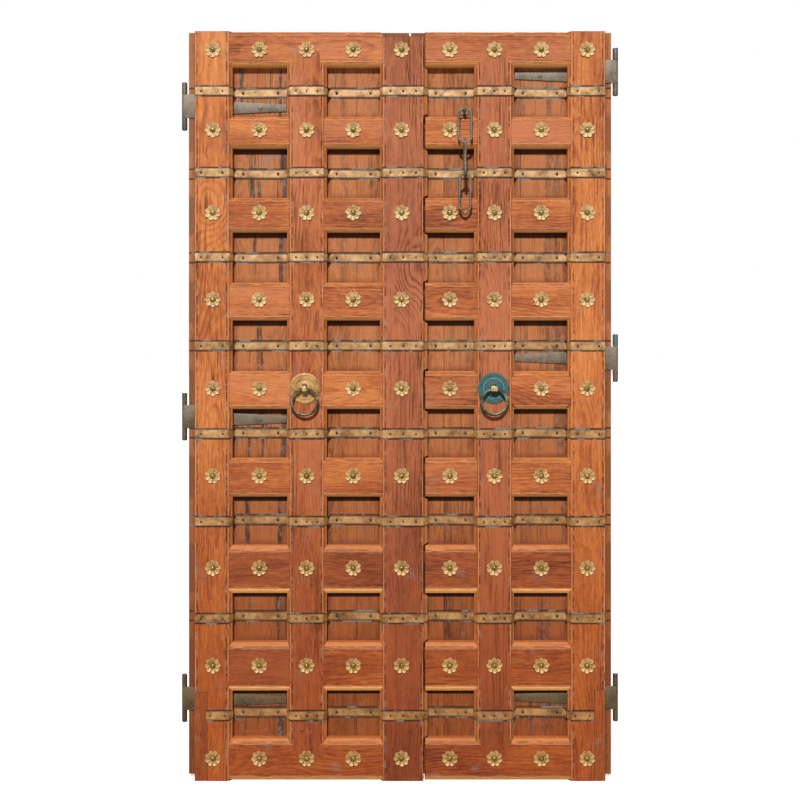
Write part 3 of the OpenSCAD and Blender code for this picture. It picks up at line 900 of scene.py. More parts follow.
        # painted shadow: the plank just under each rail is darkened, where the rail's shadow falls
        roofs = tuple((low, (low + top) / 2) for low, top in high)
        painted_roof_shadow = s.beyond(f.height, roofs).rise(17 * MM, 11 * MM) * front
        inside = f.across.size().rise(self.roof_shadow_end, self.roof_shadow_end - 10 * MM)
        return s.blend(painted_roof_shadow * inside * 0.8, colour, self.crack)

    def ring(self, s: Shader, grain: Wire, spot: Wire, swirl: Wire) -> Wire:
        """Give the place inside a growth ring, cut at a slant so that arches form.

        Args:
            s: the shader.
            grain: the point in the board.
            spot: the point in the pattern.
            swirl: how far knots and burrs bend the grain.

        Returns:
            The place, from 0 to 1.
        """
        across, depth, along = s.parts(grain)
        sway = s.noise(spot, (5.0, 5.0, 2.4), 2.0)
        lean = s.noise(s.vectors("ADD", spot, (7.0, 3.0, 11.0)), (5.0, 5.0, 1.6), 1.0)
        curl = s.noise(spot, (26.0, 26.0, 13.0), 2.0)
        bent = across + (sway - 0.5) * 0.11
        sunk = depth + along * self.taper + (lean - 0.5) * 0.10
        reach = s.far(bent, sunk) + (curl - 0.5) * 0.011 + swirl * 0.035
        return (reach * self.rings).part()

    @staticmethod
    def knots(s: Shader, spot: Wire) -> tuple[Wire, Wire]:
        """Give the hearts of scattered knots, and how far each bends the grain around it."""
        far = s.cells(spot, (3.4, 3.4, 1.5))
        return far.rise(0.055, 0.025), far.rise(0.34, 0.0)

    @staticmethod
    def margins(s: Shader) -> tuple[Wire, Wire, Wire]:
        """Read how far a point lies from the edges of its board's face.

        Args:
            s: the shader.

        Returns:
            The distance in from the long edges, in from the ends, and out past the lower edge.
        """
        rim = s.add("ShaderNodeAttribute", {"attribute_name": "margins"})
        low = s.parts(Wire(s, rim.outputs["Vector"]))
        wear = (s.noise(s.place(), (38.0, 38.0, 38.0), 2.0) - 0.5) * (2.4 * MM)
        last = Wire(s, rim.outputs["Alpha"])
        return low[0].least(low[1]) + wear, low[2].least(last) + wear, -low[0]


@dataclass(frozen=True)
class Brass:
    """Hand-worked brass with darker and lighter patches, dents, grime, and the painted shade and
    highlights that its pieces mark.
    """

    name: str
    pale: Colour = linear(216, 174, 120)
    gold: Colour = linear(176, 132, 84)
    dark: Colour = linear(84, 56, 32)
    patch_scale: float = 24.0
    dent_scale: float = 90.0
    metal: float = 0.25
    rough: float = 0.44
    dent_depth: float = 0.5
    patchy: float = 1.0
    low_shade: Colour = (0.78, 0.66, 0.48)

    def build(self) -> bpy.types.Material:
        """Make the material.

        Returns:
            The material.
        """
        s = Shader(self.name)
        spot = s.vectors("ADD", s.place(), s.mark("lot"))
        patch = s.noise(spot, (self.patch_scale,) * 3, 3.0, 0.6)
        dents = s.noise(spot, (self.dent_scale,) * 3, 2.0, 0.5)
        specks = s.noise(spot, (600.0,) * 3, 2.0, 0.6)
        mix = 0.46 + (patch - 0.5) * self.patchy + (dents - 0.5) * 0.6 + (specks - 0.5) * 0.35
        colour = s.ramp(mix, (0.12, self.dark), (0.42, self.gold), (0.72, self.pale))
        colour = s.shaded(s.parts(s.place())[2], 1.75, 0.25, colour, self.low_shade)
        grime = s.mark("grime", "Fac")
        # darker where the mark is high: grime, and painted shade on bands in the recesses and on the
        # roses' shaded parts
        edge = (grime + (dents - 0.5) * 0.5).rise(0.35, 0.85)
        # paler where the mark is below 0: polish, and painted highlights on the bands' edges and the
        # rings' inner edges
        colour = s.blend((-grime).rise(0.1, 0.9) * 0.6, colour, self.pale)
        colour = s.blend(edge * 0.82, colour, self.dark)
        rough = self.rough + (patch - 0.5) * 0.35 + edge * 0.2
        relief = 0.5 + (dents - 0.5) * 0.8 + (specks - 0.5) * 0.12
        metal = self.metal - edge * (self.metal * 0.5)
        return s.finish(colour, rough, relief, self.dent_depth * MM, 0.6, metal=metal)


@dataclass(frozen=True)
class Iron:
    """Forged iron with hammer marks, pits and a brown bloom."""

    name: str
    pale: Colour = linear(148, 136, 118)
    dark: Colour = linear(72, 62, 52)
    rust: Colour = linear(110, 76, 54)
    metal: float = 0.35
    rough: float = 0.6
    low_shade: Colour = (0.62, 0.50, 0.30)
    green: Colour = linear(70, 112, 116)
    green_above: float = 9.0

    def build(self) -> bpy.types.Material:
        """Make the material.

        Returns:
            The material.
        """
        s = Shader(self.name)
        spot = s.place()
        patch = s.noise(spot, (16.0,) * 3, 3.0, 0.6)
        pits = s.noise(spot, (260.0,) * 3, 3.0, 0.65)
        hammer = s.cells(spot, (95.0,) * 3, "SMOOTH_F1")
        mix = 0.5 + (patch - 0.5) * 0.9 + (pits - 0.5) * 0.9
        colour = s.ramp(mix, (0.25, self.dark), (0.72, self.pale))
        colour = s.blend(patch.rise(0.52, 0.70) * 0.6, colour, self.rust)
        height = s.parts(spot)[2]
        colour = s.shaded(height, 1.7, 0.2, colour, self.low_shade)
        green = height.rise(self.green_above, self.green_above + 5 * MM) * pits.rise(0.36, 0.54)
        colour = s.blend(green * 0.85, colour, self.green)
        rough = self.rough + (pits - 0.5) * 0.35
        relief = 0.5 + (pits - 0.5) * 0.6 + (hammer - 0.4) * 0.4
        metal = self.metal - patch.rise(0.5, 0.7) * (self.metal * 0.6)
        return s.finish(colour, rough, relief, 0.9 * MM, 0.7, metal=metal)


@dataclass(frozen=True)
class Verdigris:
    """Bronze under a crust of blue-green verdigris."""

    name: str
    teal: Colour = linear(20, 66, 74)
    pale: Colour = linear(66, 116, 114)
    bronze: Colour = linear(92, 74, 46)
    deep: Colour = linear(18, 48, 54)
    polish: Colour = linear(186, 178, 142)
    bare_share: float = 0.62

    def build(self) -> bpy.types.Material:
        """Make the material.

        Returns:
            The material.
        """
        s = Shader(self.name)
        spot = s.place()
        patch = s.noise(spot, (42.0,) * 3, 3.0, 0.6)
        crust = s.noise(spot, (330.0,) * 3, 3.0, 0.6)
        colour = s.ramp(crust, (0.35, self.teal), (0.72, self.pale))
        grime = s.mark("grime", "Fac")
        # darker where the mark is high: grime in the steps, and painted shade on the rose's lower
        # middle and lower right teeth
        colour = s.blend(grime.rise(0.1, 0.8) * 0.6, colour, self.deep)
        bare = patch.rise(self.bare_share, self.bare_share + 0.12)
        colour = s.blend(bare, colour, self.bronze)
        rubbed = (-grime + (crust - 0.5) * 0.5).rise(0.35, 0.85)
        colour = s.blend(rubbed * 0.8, colour, self.polish)
        rough = 0.78 - bare * 0.3 + (crust - 0.5) * 0.2
        relief = 0.5 + (crust - 0.5) * 0.8 + (patch - 0.5) * 0.4
        return s.finish(colour, rough, relief, 0.6 * MM, 0.7, metal=bare * 0.6)


# ---------------------------------------------------------------- the timber


@dataclass
class Joiner:
    """Eases the boards' edges and marks them for their finish."""

    ease: float = 1.1 * MM
    sharp: float = 32.0
    smooth: float = 35.0
    face_depth: float = 2.2 * MM
    pith_across: tuple[float, float] = (-0.05, 0.05)
    pith_depth: tuple[float, float] = (0.02, 0.07)
    no_burr: Place = (9.0, 9.0, 9.0)
    burrs: dict[str, Place] = field(default_factory=lambda: {
        "left_outer_stile_board": (-525 * MM, 0.0, 1612 * MM),
        "cover_stile_board": (28 * MM, 0.0, 1420 * MM)})
    rng: random.Random = field(default_factory=lambda: random.Random(41))

    def board(self, blank: Piece, name: str, grain: Grain, tone: float, stain: float = 0.0,
              groove: float = 0.0, shade: float = 0.0) -> Piece:
        """Ease a board's edges and mark it.

        Args:
            blank: the merged solid.
            name: the board's name.
            grain: which way its grain runs.
            tone: how rosy it is, from 0 to 1.
            stain: how strong its dark streaks are, from 0 to 1.
            groove: how strong the furrow along its edges is, from 0 to 1.
            shade: how much lighter than the rest it is.

        Returns:
            The board.
        """
        blank.name = name
        Bench.ease(blank, self.ease, self.sharp)
        Bench.settle(blank, self.smooth)
        Bench.apply(blank, "WEIGHTED_NORMAL", keep_sharp=True, weight=100)
        self.mark(blank, grain, (tone, stain, groove), shade)
        return blank

    def mark(self, board: Piece, grain: Grain, choice: Place, shade: float) -> None:
        """Store a board's grain, margins and lot, and the choices made for it.

        Args:
            board: the board.
            grain: which way its grain runs.
            choice: its tone, stain and groove.
            shade: how much lighter than the rest it is.
        """
        places = Bench.points(board)
        low, high = places.min(0), places.max(0)
        pith_across = self.rng.uniform(*self.pith_across)
        pith_depth = self.rng.uniform(*self.pith_depth)
        local = places - (low + high) / 2
        along, across = (2, 0) if grain is Grain.UPRIGHT else (0, 2)
        rows = np.stack([local[:, across] + pith_across, local[:, 1] + pith_depth, local[:, along]], 1)
        Bench.mark(board, "grain", rows)
        Bench.mark(board, "lot", Bench.any_lot(self.rng))
        Bench.mark(board, "choice", choice)
        Bench.mark(board, "shade", shade, "FLOAT")
        Bench.mark(board, "burr", self.burrs.get(board.name, self.no_burr))
        face = places[places[:, 1] < low[1] + self.face_depth]
        first, last = face.min(0), face.max(0)
        rows = np.stack([places[:, across] - first[across], last[across] - places[:, across],
                         places[:, along] - first[along], last[along] - places[:, along]], 1)
        Bench.mark(board, "margins", rows, "FLOAT_COLOR")


@dataclass
class Grid:
    """The stiles and rails of both leaves."""

    joiner: Joiner
    finish: bpy.types.Material
    stiles: ClassVar[dict[str, tuple[float, float]]] = {
        "left_outer_stile": (0.0, 0.025), "left_middle_stile": (0.55, 0.0),
        "cover_stile": (0.95, -0.055), "right_middle_stile": (0.7, 0.0),
        "right_outer_stile": (0.05, 0.03)}
    rails: tuple[str, ...] = (
        "left_top_rail", "left_bottom_rail", "right_top_rail", "right_bottom_rail",
        "left_hinge_side_rails", "left_meeting_side_rails",
        "right_meeting_side_rails", "right_hinge_side_rails")
    stile_groove: float = 1.0
    rail_groove: float = 0.3
    rail_tones: tuple[float, float] = (-0.5, 0.6)
    rail_shades: tuple[float, float] = (-0.11, 0.03)

    def build(self) -> None:
        """Cut and hang every stile and rail."""
        rng = self.joiner.rng
        for node, (tone, shade) in self.stiles.items():
            (blank,) = Bench.solids(node)
            board = self.joiner.board(
                blank, node + "_board", Grain.UPRIGHT, tone, groove=self.stile_groove, shade=shade)
            Bench.hang(board, node, Slot.GRID, self.finish)
        for node in self.rails:
            for number, blank in enumerate(Bench.solids(node), 1):
                tone = max(0.0, rng.uniform(*self.rail_tones))
                shade = rng.uniform(*self.rail_shades)
                board = self.joiner.board(blank, f"{node}_board_{number}", Grain.LEVEL, tone,
                                          groove=self.rail_groove, shade=shade)
                Bench.hang(board, node, Slot.GRID, self.finish)


@dataclass
class Planking:
    """The planks behind the grid, the tongues between them and the strips let into their feet."""

    joiner: Joiner
    finish: bpy.types.Material
    repair_finish: bpy.types.Material
    tongues: Joiner = field(default_factory=lambda: Joiner(0.15 * MM))
    tone: float = 0.3
    tongue_thickness: float = 0.4
    tongue_gap: float = 0.1 * MM
    tongue_shade: float = -0.3
    full_length: float = 0.998
    lengths: dict[str, float] = field(default_factory=lambda: {"right_plank_2": 0.80})
    stains: dict[str, float] = field(default_factory=lambda: {
        "left_plank_2": 1.0, "left_plank_3": 0.35, "left_plank_4": 0.15, "right_plank_2": 0.3,
        "right_plank_3": 0.5})
    least_stain: float = 0.1
    shades: tuple[float, float] = (-0.10, -0.02)

    @staticmethod
    def openings() -> tuple[Spans, Spans]:
        """Find what the grid covers.

        Returns:
            The spans that the uprights cover, and those that the rails cover.
        """
        wide = tuple((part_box(node)[0][0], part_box(node)[1][0]) for node in Grid.stiles)
        high = tuple((low.z, high.z) for low, high in Bench.boxes("left_hinge_side_rails"))
        return wide, high

    def build(self) -> None:
        """Cut and hang the planks, tongues and strips."""
        for node in sorted(frame["nodes"]):
            if "_plank_" in node:
                (blank,) = Bench.solids(node)
                stain = self.stains.get(node, self.least_stain)
                shade = self.joiner.rng.uniform(*self.shades)
                board = self.joiner.board(
                    blank, node + "_board", Grain.UPRIGHT, self.tone, stain, shade=shade)
                Bench.hang(board, node, Slot.PLANKS, self.finish)
                following = f"{node[:-1]}{int(node[-1]) + 1}"
                if following in frame["nodes"]:
                    self.tongue(node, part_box(following)[0][0])
        for node in ("left_repair_strip", "right_repair_strip"):
            (blank,) = Bench.solids(node)
            board = self.joiner.board(blank, node + "_board", Grain.UPRIGHT, 0.0)
            Bench.hang(board, node, Slot.REPAIR, self.repair_finish)

    def tongue(self, node: str, edge: float) -> None:
        """Close the joint beside a plank with a loose tongue, set back from both faces.

        Args:
            node: the plank.
            edge: where the next plank begins.
        """
        low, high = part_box(node)
        width = edge - high[0] - self.tongue_gap
        tall = (high[2] - low[2]) * self.lengths.get(node, self.full_length)
        blank = Bench.start(
            bpy.ops.mesh.primitive_cube_add, "tongue",
            (width, (high[1] - low[1]) * self.tongue_thickness, tall), size=1,
            location=(high[0] + width / 2, (low[1] + high[1]) / 2, low[2] + MM + tall / 2))
        board = self.tongues.board(
            blank, node + "_tongue", Grain.UPRIGHT, self.tone, shade=self.tongue_shade)
        Bench.hang(board, node, Slot.PLANKS, self.finish)


# ---------------------------------------------------------------- the brasswork


@dataclass
class Bands:
    """The brass bands, beaten over the stiles, and the tacks that hold them."""

    finish: bpy.types.Material
    tack_finish: bpy.types.Material
    step: float = 14 * MM
    cuts: int = 4
    wobble: float = 0.5 * MM
    dimple: float = 1.5 * MM
    dimple_reach: float = 4.6 * MM
    dimple_grime: float = 3.0 * MM
    dents: int = 150
    dent: float = 0.55 * MM
    dent_reach: tuple[float, float] = (5, 13)
    turned_edge: float = 0.7 * MM
    proud: float = 0.3 * MM
    sunk_most: float = 1.3 * MM
    hollow_depth: float = 4 * MM
    hollow_shade: float = 0.40
    tack_width: float = 0.82
    rng: random.Random = field(default_factory=lambda: random.Random(7))

    def build(self) -> None:
        """Beat out every band and drive its tacks."""
        for side in SIDES:
            boxes = Bench.boxes(f"{side}_band_tacks")
            middles = np.array([((low + high) / 2)[:] for low, high in boxes])
            for number, blank in enumerate(Bench.solids(f"{side}_bands"), 1):
                band = self.beaten(blank, f"{side}_band_{number}", middles)
                Bench.hang(band, f"{side}_bands", Slot.BANDS, self.finish)
            self.tacks(side, boxes)

    def beaten(self, band: Piece, name: str, tacks: np.ndarray) -> Piece:
        """Cut a band across its length, beat its face and sink it round each tack.

        Args:
            band: the merged solid.
            name: its name.
            tacks: the middles of the leaf's tacks.

        Returns:
            The band.
        """
        band.name = name
        low, high = Bench.box(band)
        Bench.edit(band)
        count = int((high.x - low.x) / self.step)
        for number in range(1, count):
            Bench.cut((low.x + (high.x - low.x) * number / count, 0, 0), (1, 0, 0))
        Bench.faces(band, lambda centre, normal: normal.y < -0.3)
        bpy.ops.mesh.subdivide(number_cuts=self.cuts)
        Bench.close()
        self.beat(band, low, high, tacks)
        return Bench.settle(band)

    def beat(self, band: Piece, low: Corner, high: Corner, tacks: np.ndarray) -> None:
        """Move the face of a band in and out, and mark where grime, wear, painted highlights and
        painted shade lie.

        Args:
            band: the band.
            low: its lowest corner.
            high: its highest corner.
            tacks: the middles of the leaf's tacks.
        """
        places = Bench.points(band)
        normals = np.empty(len(places) * 3, np.float32)
        band.data.vertices.foreach_get("normal", normals)
        front = np.clip(-normals.reshape(-1, 3)[:, 1], 0, 1)
        middle, half = (low.z + high.z) / 2, (high.z - low.z) / 2
        edge = np.abs(places[:, 2] - middle) / half
        own = tacks[np.abs(tacks[:, 2] - middle) < half]
        gaps = places[:, None, :] - own[None, :, :]
        away = np.min(np.hypot(gaps[:, :, 0], gaps[:, :, 2]), 1)
        sunk = self.dimple * np.exp(-(away / self.dimple_reach) ** 2)
        for _ in range(self.dents):
            x, z = self.rng.uniform(low.x, high.x), self.rng.uniform(low.z, high.z)
            reach = self.rng.uniform(*self.dent_reach) * MM
            gap = ((places[:, 0] - x) / reach) ** 2 + ((places[:, 2] - z) / (reach * 0.8)) ** 2
            sunk += self.rng.uniform(-0.5, 1.0) * self.dent * np.exp(-gap)
        sunk += self.turned_edge * np.clip((edge - 0.80) / 0.2, 0, 1) ** 2
        # dark at the very edge is grime; the pale line just inside each edge is polish and a painted
        # highlight; hollow_shade is painted shade on the band where it dips into a recess
        grime = np.clip((edge - 0.90) * 12, 0, 1) - 0.9 * np.exp(-((edge - 0.78) / 0.10) ** 2)
        grime += 1.1 * np.exp(-(away / self.dimple_grime) ** 2)
        grime += self.hollow_shade * (places[:, 1] > low.y + self.hollow_depth)
        t = places[:, 0] * 1000 + self.rng.uniform(0, 50)
        places[:, 2] += self.wobble * (np.sin(t / 47) + 0.6 * np.sin(t / 19 + (places[:, 2] > middle)))
        places[:, 1] += np.clip(sunk, -self.proud, self.sunk_most) * front
        Bench.move_points(band, places)
        Bench.mark(band, "grime", np.clip(grime, -1, 1.2), "FLOAT")
        Bench.mark(band, "lot", Bench.any_lot(self.rng))

    def tacks(self, side: str, boxes: list[Box]) -> None:
        """Model one tack, copy it to every place and join each band's tacks.

        Args:
            side: the leaf.
            boxes: the box of each of its tacks.
        """
        first, last = boxes[0]
        tack = self.tack((last.x - first.x) / 2, last.y - first.y)
        rows: dict[int, list[Piece]] = {}
        for low, high in boxes:
            centre = (low + high) / 2
            one = Bench.copy(tack, "tack")
            turn = self.rng.uniform(0.85, 1.12) * self.tack_width
            one.scale = (turn, self.rng.uniform(0.8, 1.1), turn)
            one.location = (centre.x, high.y, centre.z)
            rows.setdefault(round(centre.z * 20), []).append(one)
        bpy.data.objects.remove(tack)
        for number, key in enumerate(sorted(rows), 1):
            joined = Bench.settle(Bench.join(rows[key], f"{side}_band_{number}_tacks"), 60.0)
            Bench.hang(joined, f"{side}_band_tacks", Slot.TACKS, self.tack_finish)

    @staticmethod
    def tack(radius: float, height: float) -> Piece:
        """Model a tack's low domed head, pointing towards the viewer with its back at the origin.

        Args:
            radius: the head's radius.
            height: the head's height.

        Returns:
            The tack.
        """
        tack = Bench.start(bpy.ops.mesh.primitive_uv_sphere_add, "tack", segments=12, ring_count=8,
                           radius=radius, rotation=FORWARD)
        Bench.edit(tack)
        Bench.cut((0, 0, 0), (0, 1, 0), clear_outer=True, use_fill=True)
        bpy.ops.mesh.select_all(action="SELECT")
        bpy.ops.transform.resize(value=(1, height / radius, 1))
        Bench.outward()
        Bench.close()
        return tack


@dataclass
class Flowers:
    """The eight-petalled rosettes, and the nails through them that are clinched behind."""

    finish: bpy.types.Material
    nail_finish: bpy.types.Material
    petals: int = 8
    reach: float = 1.02
    heart: float = 0.62
    breadth: float = 0.30
    slit: float = 0.45 * MM
    rim: float = 1.3 * MM
    dish: float = 1.0 * MM
    thickness: float = 2.2 * MM
    cup: float = 1.7 * MM
    cup_from: float = 0.35
    boss_width: float = 0.42
    head: float = 1.36
    askew: float = 0.09
    nail_depth: float = 1.2 * MM
    rng: random.Random = field(default_factory=lambda: random.Random(23))

    def build(self) -> None:
        """Stamp the rosettes and drive the nails."""
        for side in SIDES:
            self.scatter(f"{side}_rosettes", Slot.ROSETTES, self.finish)
            self.scatter(f"{side}_rosette_nails", Slot.NAILS, self.nail_finish)

    def scatter(self, node: str, slot: Slot, finish: bpy.types.Material) -> None:
        """Copy the pattern piece to every place and join each row.

        Args:
            node: the rosettes or their nails.
            slot: the record's name for the finish.
            finish: the material.
        """
        boxes = Bench.boxes(node)
        rosette = slot is Slot.ROSETTES
        radius = (boxes[0][1].x - boxes[0][0].x) / 2
        depth = boxes[0][1].y - boxes[0][0].y
        if rosette:
            pattern = self.rosette(radius * self.reach)
        else:
            pattern = self.nail(radius * self.head, depth)
        rows: dict[int, list[Piece]] = {}
        for low, high in boxes:
            one = Bench.copy(pattern, "flower")
            across = (low.x + high.x) / 2
            level = (low.z + high.z) / 2 if rosette else high.z - (high.x - low.x) / 2
            if rosette:
                turn = self.rng.choice((0.0, math.pi / self.petals))
                one.rotation_euler.y = turn + self.rng.uniform(-self.askew, self.askew)
                one.location = (across, high.y, level)
            else:
                one.location = (across, low.y - self.nail_depth, level)
            rows.setdefault(round(level * 10), []).append(one)
        bpy.data.objects.remove(pattern)
        for number, key in enumerate(sorted(rows), 1):
            for one in rows[key]:
                Bench.mark(one, "lot", Bench.any_lot(self.rng))
            joined = Bench.settle(Bench.join(rows[key], f"{node}_row_{number}"), 38.0)
            Bench.hang(joined, node, slot, finish)

    def rosette(self, radius: float) -> Piece:
        """Model one rosette with its back at the origin, cupped towards the viewer.

        Args:
            radius: from its middle to a petal's tip.

        Returns:
            The rosette.
        """
        petal = Bench.start(
            bpy.ops.mesh.primitive_circle_add, "petal", (1 - self.heart, self.breadth, 1.0),
            vertices=28, radius=radius, fill_type="NGON", location=(radius * self.heart, 0, 0),
            rotation=FORWARD)
        Bench.edit(petal)
        half = math.pi / self.petals
        for side in (1, -1):
            normal = Vector((-math.sin(half), 0, side * math.cos(half)))
            Bench.cut(-self.slit * normal, normal, clear_outer=True, use_fill=False)
        bpy.ops.mesh.select_all(action="SELECT")
        Bench.extrude(0, -self.thickness, 0)
        front = -0.9 * self.thickness
        Bench.faces(petal, lambda centre, normal: centre.y < front and abs(normal.y) > 0.9)
        for thickness, depth in ((0.5, 0.0), (0.6, 0.35), (0.9, 0.65)):
            bpy.ops.mesh.inset(thickness=self.rim * thickness, depth=-self.dish * depth)
        Bench.outward()
        Bench.close()
        places = Bench.points(petal)
        out = np.clip(places[:, 0] / radius - self.cup_from, 0, None) / (1 - self.cup_from)
        places[:, 1] -= self.cup * out ** 1.3
        Bench.move_points(petal, places)
        pieces = [petal]
        for number in range(1, self.petals):
            twin = Bench.copy(petal, "petal")
            twin.rotation_euler.y = number * 2 * half
            pieces.append(twin)
        whole = Bench.settle(Bench.join([*pieces, self.boss(radius)], "rosette_pattern"))
        Bench.mark(whole, "grime", self.grime(Bench.points(whole), radius), "FLOAT")
        return whole

    def boss(self, radius: float) -> Piece:
        """Model the disc that the petals spring from.

        Args:
            radius: the rosette's radius.

        Returns:
            The disc.
        """
        deep = self.thickness * 0.8
        boss = Bench.start(
            bpy.ops.mesh.primitive_cylinder_add, "boss", vertices=24,
            radius=self.boss_width * radius, depth=deep, location=(0, -deep / 2, 0),
            rotation=FORWARD)
        Bench.edit(boss)
        Bench.faces(boss, lambda centre, normal: normal.y < -0.9)
        bpy.ops.mesh.inset(thickness=0.08 * radius, depth=0.4 * MM)
        Bench.close()
        return boss

    @staticmethod
    def grime(places: np.ndarray, radius: float) -> np.ndarray:
        """Grime lies in the dished petals and round the nail's foot."""
        reach = np.hypot(places[:, 0], places[:, 2]) / radius
        return np.clip(1.25 - reach * 2.2, -0.5, 1.0) + 0.8 * np.exp(-((reach - 0.66) / 0.07) ** 2)

    def nail(self, radius: float, depth: float) -> Piece:
        """Model one nail: collar, domed head, and the tip clinched down behind.

        Args:
            radius: the radius of its collar.
            depth: how far its tip lies behind the top of its head.

        Returns:
            The nail, with the top of its head at the origin.
        """
        nail = Bench.start(
            bpy.ops.mesh.primitive_uv_sphere_add, "nail", segments=18, ring_count=12,
            radius=radius * 0.9, location=(0, radius * 0.88, 0), rotation=FORWARD)
        Bench.edit(nail)
        Bench.cut((0, radius * 0.80, 0), (0, 1, 0), clear_outer=True, use_fill=True)
        Bench.faces(nail, lambda centre, normal: normal.y > 0.9)
        bpy.ops.mesh.inset(thickness=-0.12 * radius)
        Bench.outward()
        Bench.close()
        collar = Bench.start(
            bpy.ops.mesh.primitive_torus_add, "nail_collar", major_segments=20, minor_segments=6,
            major_radius=radius * 0.86, minor_radius=radius * 0.16,
            location=(0, radius * 0.84, 0), rotation=FORWARD)
        tip = self.tip(depth + self.nail_depth)
        whole = Bench.settle(Bench.join([nail, collar, tip], "nail_pattern"))
        Bench.mark(whole, "grime", 0.0, "FLOAT")
        return whole

    @staticmethod
    def tip(back: float) -> Piece:
        """Model a nail's tip, bent down against the back and hammered thin.

        Args:
            back: how far behind the head's top its back lies.

        Returns:
            The tip.
        """
        tip = Bench.start(
            bpy.ops.mesh.primitive_cube_add, "nail_tip", (5 * MM, 4 * MM, 16 * MM), size=1,
            location=(0, back - 2 * MM, -6 * MM))
        Bench.edit(tip)
        Bench.faces(tip, lambda centre, normal: normal.z < -0.9)
        bpy.ops.transform.resize(value=(0.35, 0.3, 1))
        bpy.ops.transform.translate(value=(0, -1.2 * MM, 0))
        bpy.ops.mesh.select_all(action="SELECT")
        bpy.ops.mesh.bevel(offset=0.8 * MM, segments=2)
        Bench.outward()
        Bench.close()
        return tip


# ---------------------------------------------------------------- the ironwork


@dataclass
class Smith:
    """Works metal pieces whose shape the frame already holds: softer edges and a smooth skin."""

    lot_step: float = 3.1

    def work(self, node: str, slot: Slot, finish: bpy.types.Material, ease: float = 0.0) -> None:
        """Copy a node's solids, soften their edges and hang them.

        Args:
            node: the node.
            slot: the record's name for the finish.
            finish: the material.
            ease: how much of each edge is taken off.
        """
        pieces = []
        for number, blank in enumerate(Bench.solids(node), 1):
            if ease:
                Bench.ease(blank, ease)
            Bench.mark(blank, "grime", 0.0, "FLOAT")
            Bench.mark(blank, "lot", (number * self.lot_step, 1.7, 5.3))
            pieces.append(blank)
        Bench.hang(Bench.settle(Bench.join(pieces, node + "_work")), node, slot, finish)


@dataclass
class Hinges:
    """The strap hinges, their pins and the rivets through the straps."""

    smith: Smith
    strap_finish: bpy.types.Material
    pin_finish: bpy.types.Material
    green_pin_finish: bpy.types.Material
    green_pin: str = "right_mid_hinge_pin"
    strap_ease: float = 0.5 * MM
    rivet_ease: float = 0.4 * MM

    def build(self) -> None:
        """Forge every strap, pin and rivet."""
        for side in SIDES:
            for place in ("top", "mid", "low"):
                strap, pin = f"{side}_{place}_hinge_strap", f"{side}_{place}_hinge_pin"
                self.smith.work(strap, Slot.HINGES, self.strap_finish, self.strap_ease)
                pin_finish = self.green_pin_finish if pin == self.green_pin else self.pin_finish
                self.smith.work(pin, Slot.PINS, pin_finish)
            self.smith.work(f"{side}_hinge_rivets", Slot.HINGES, self.strap_finish, self.rivet_ease)


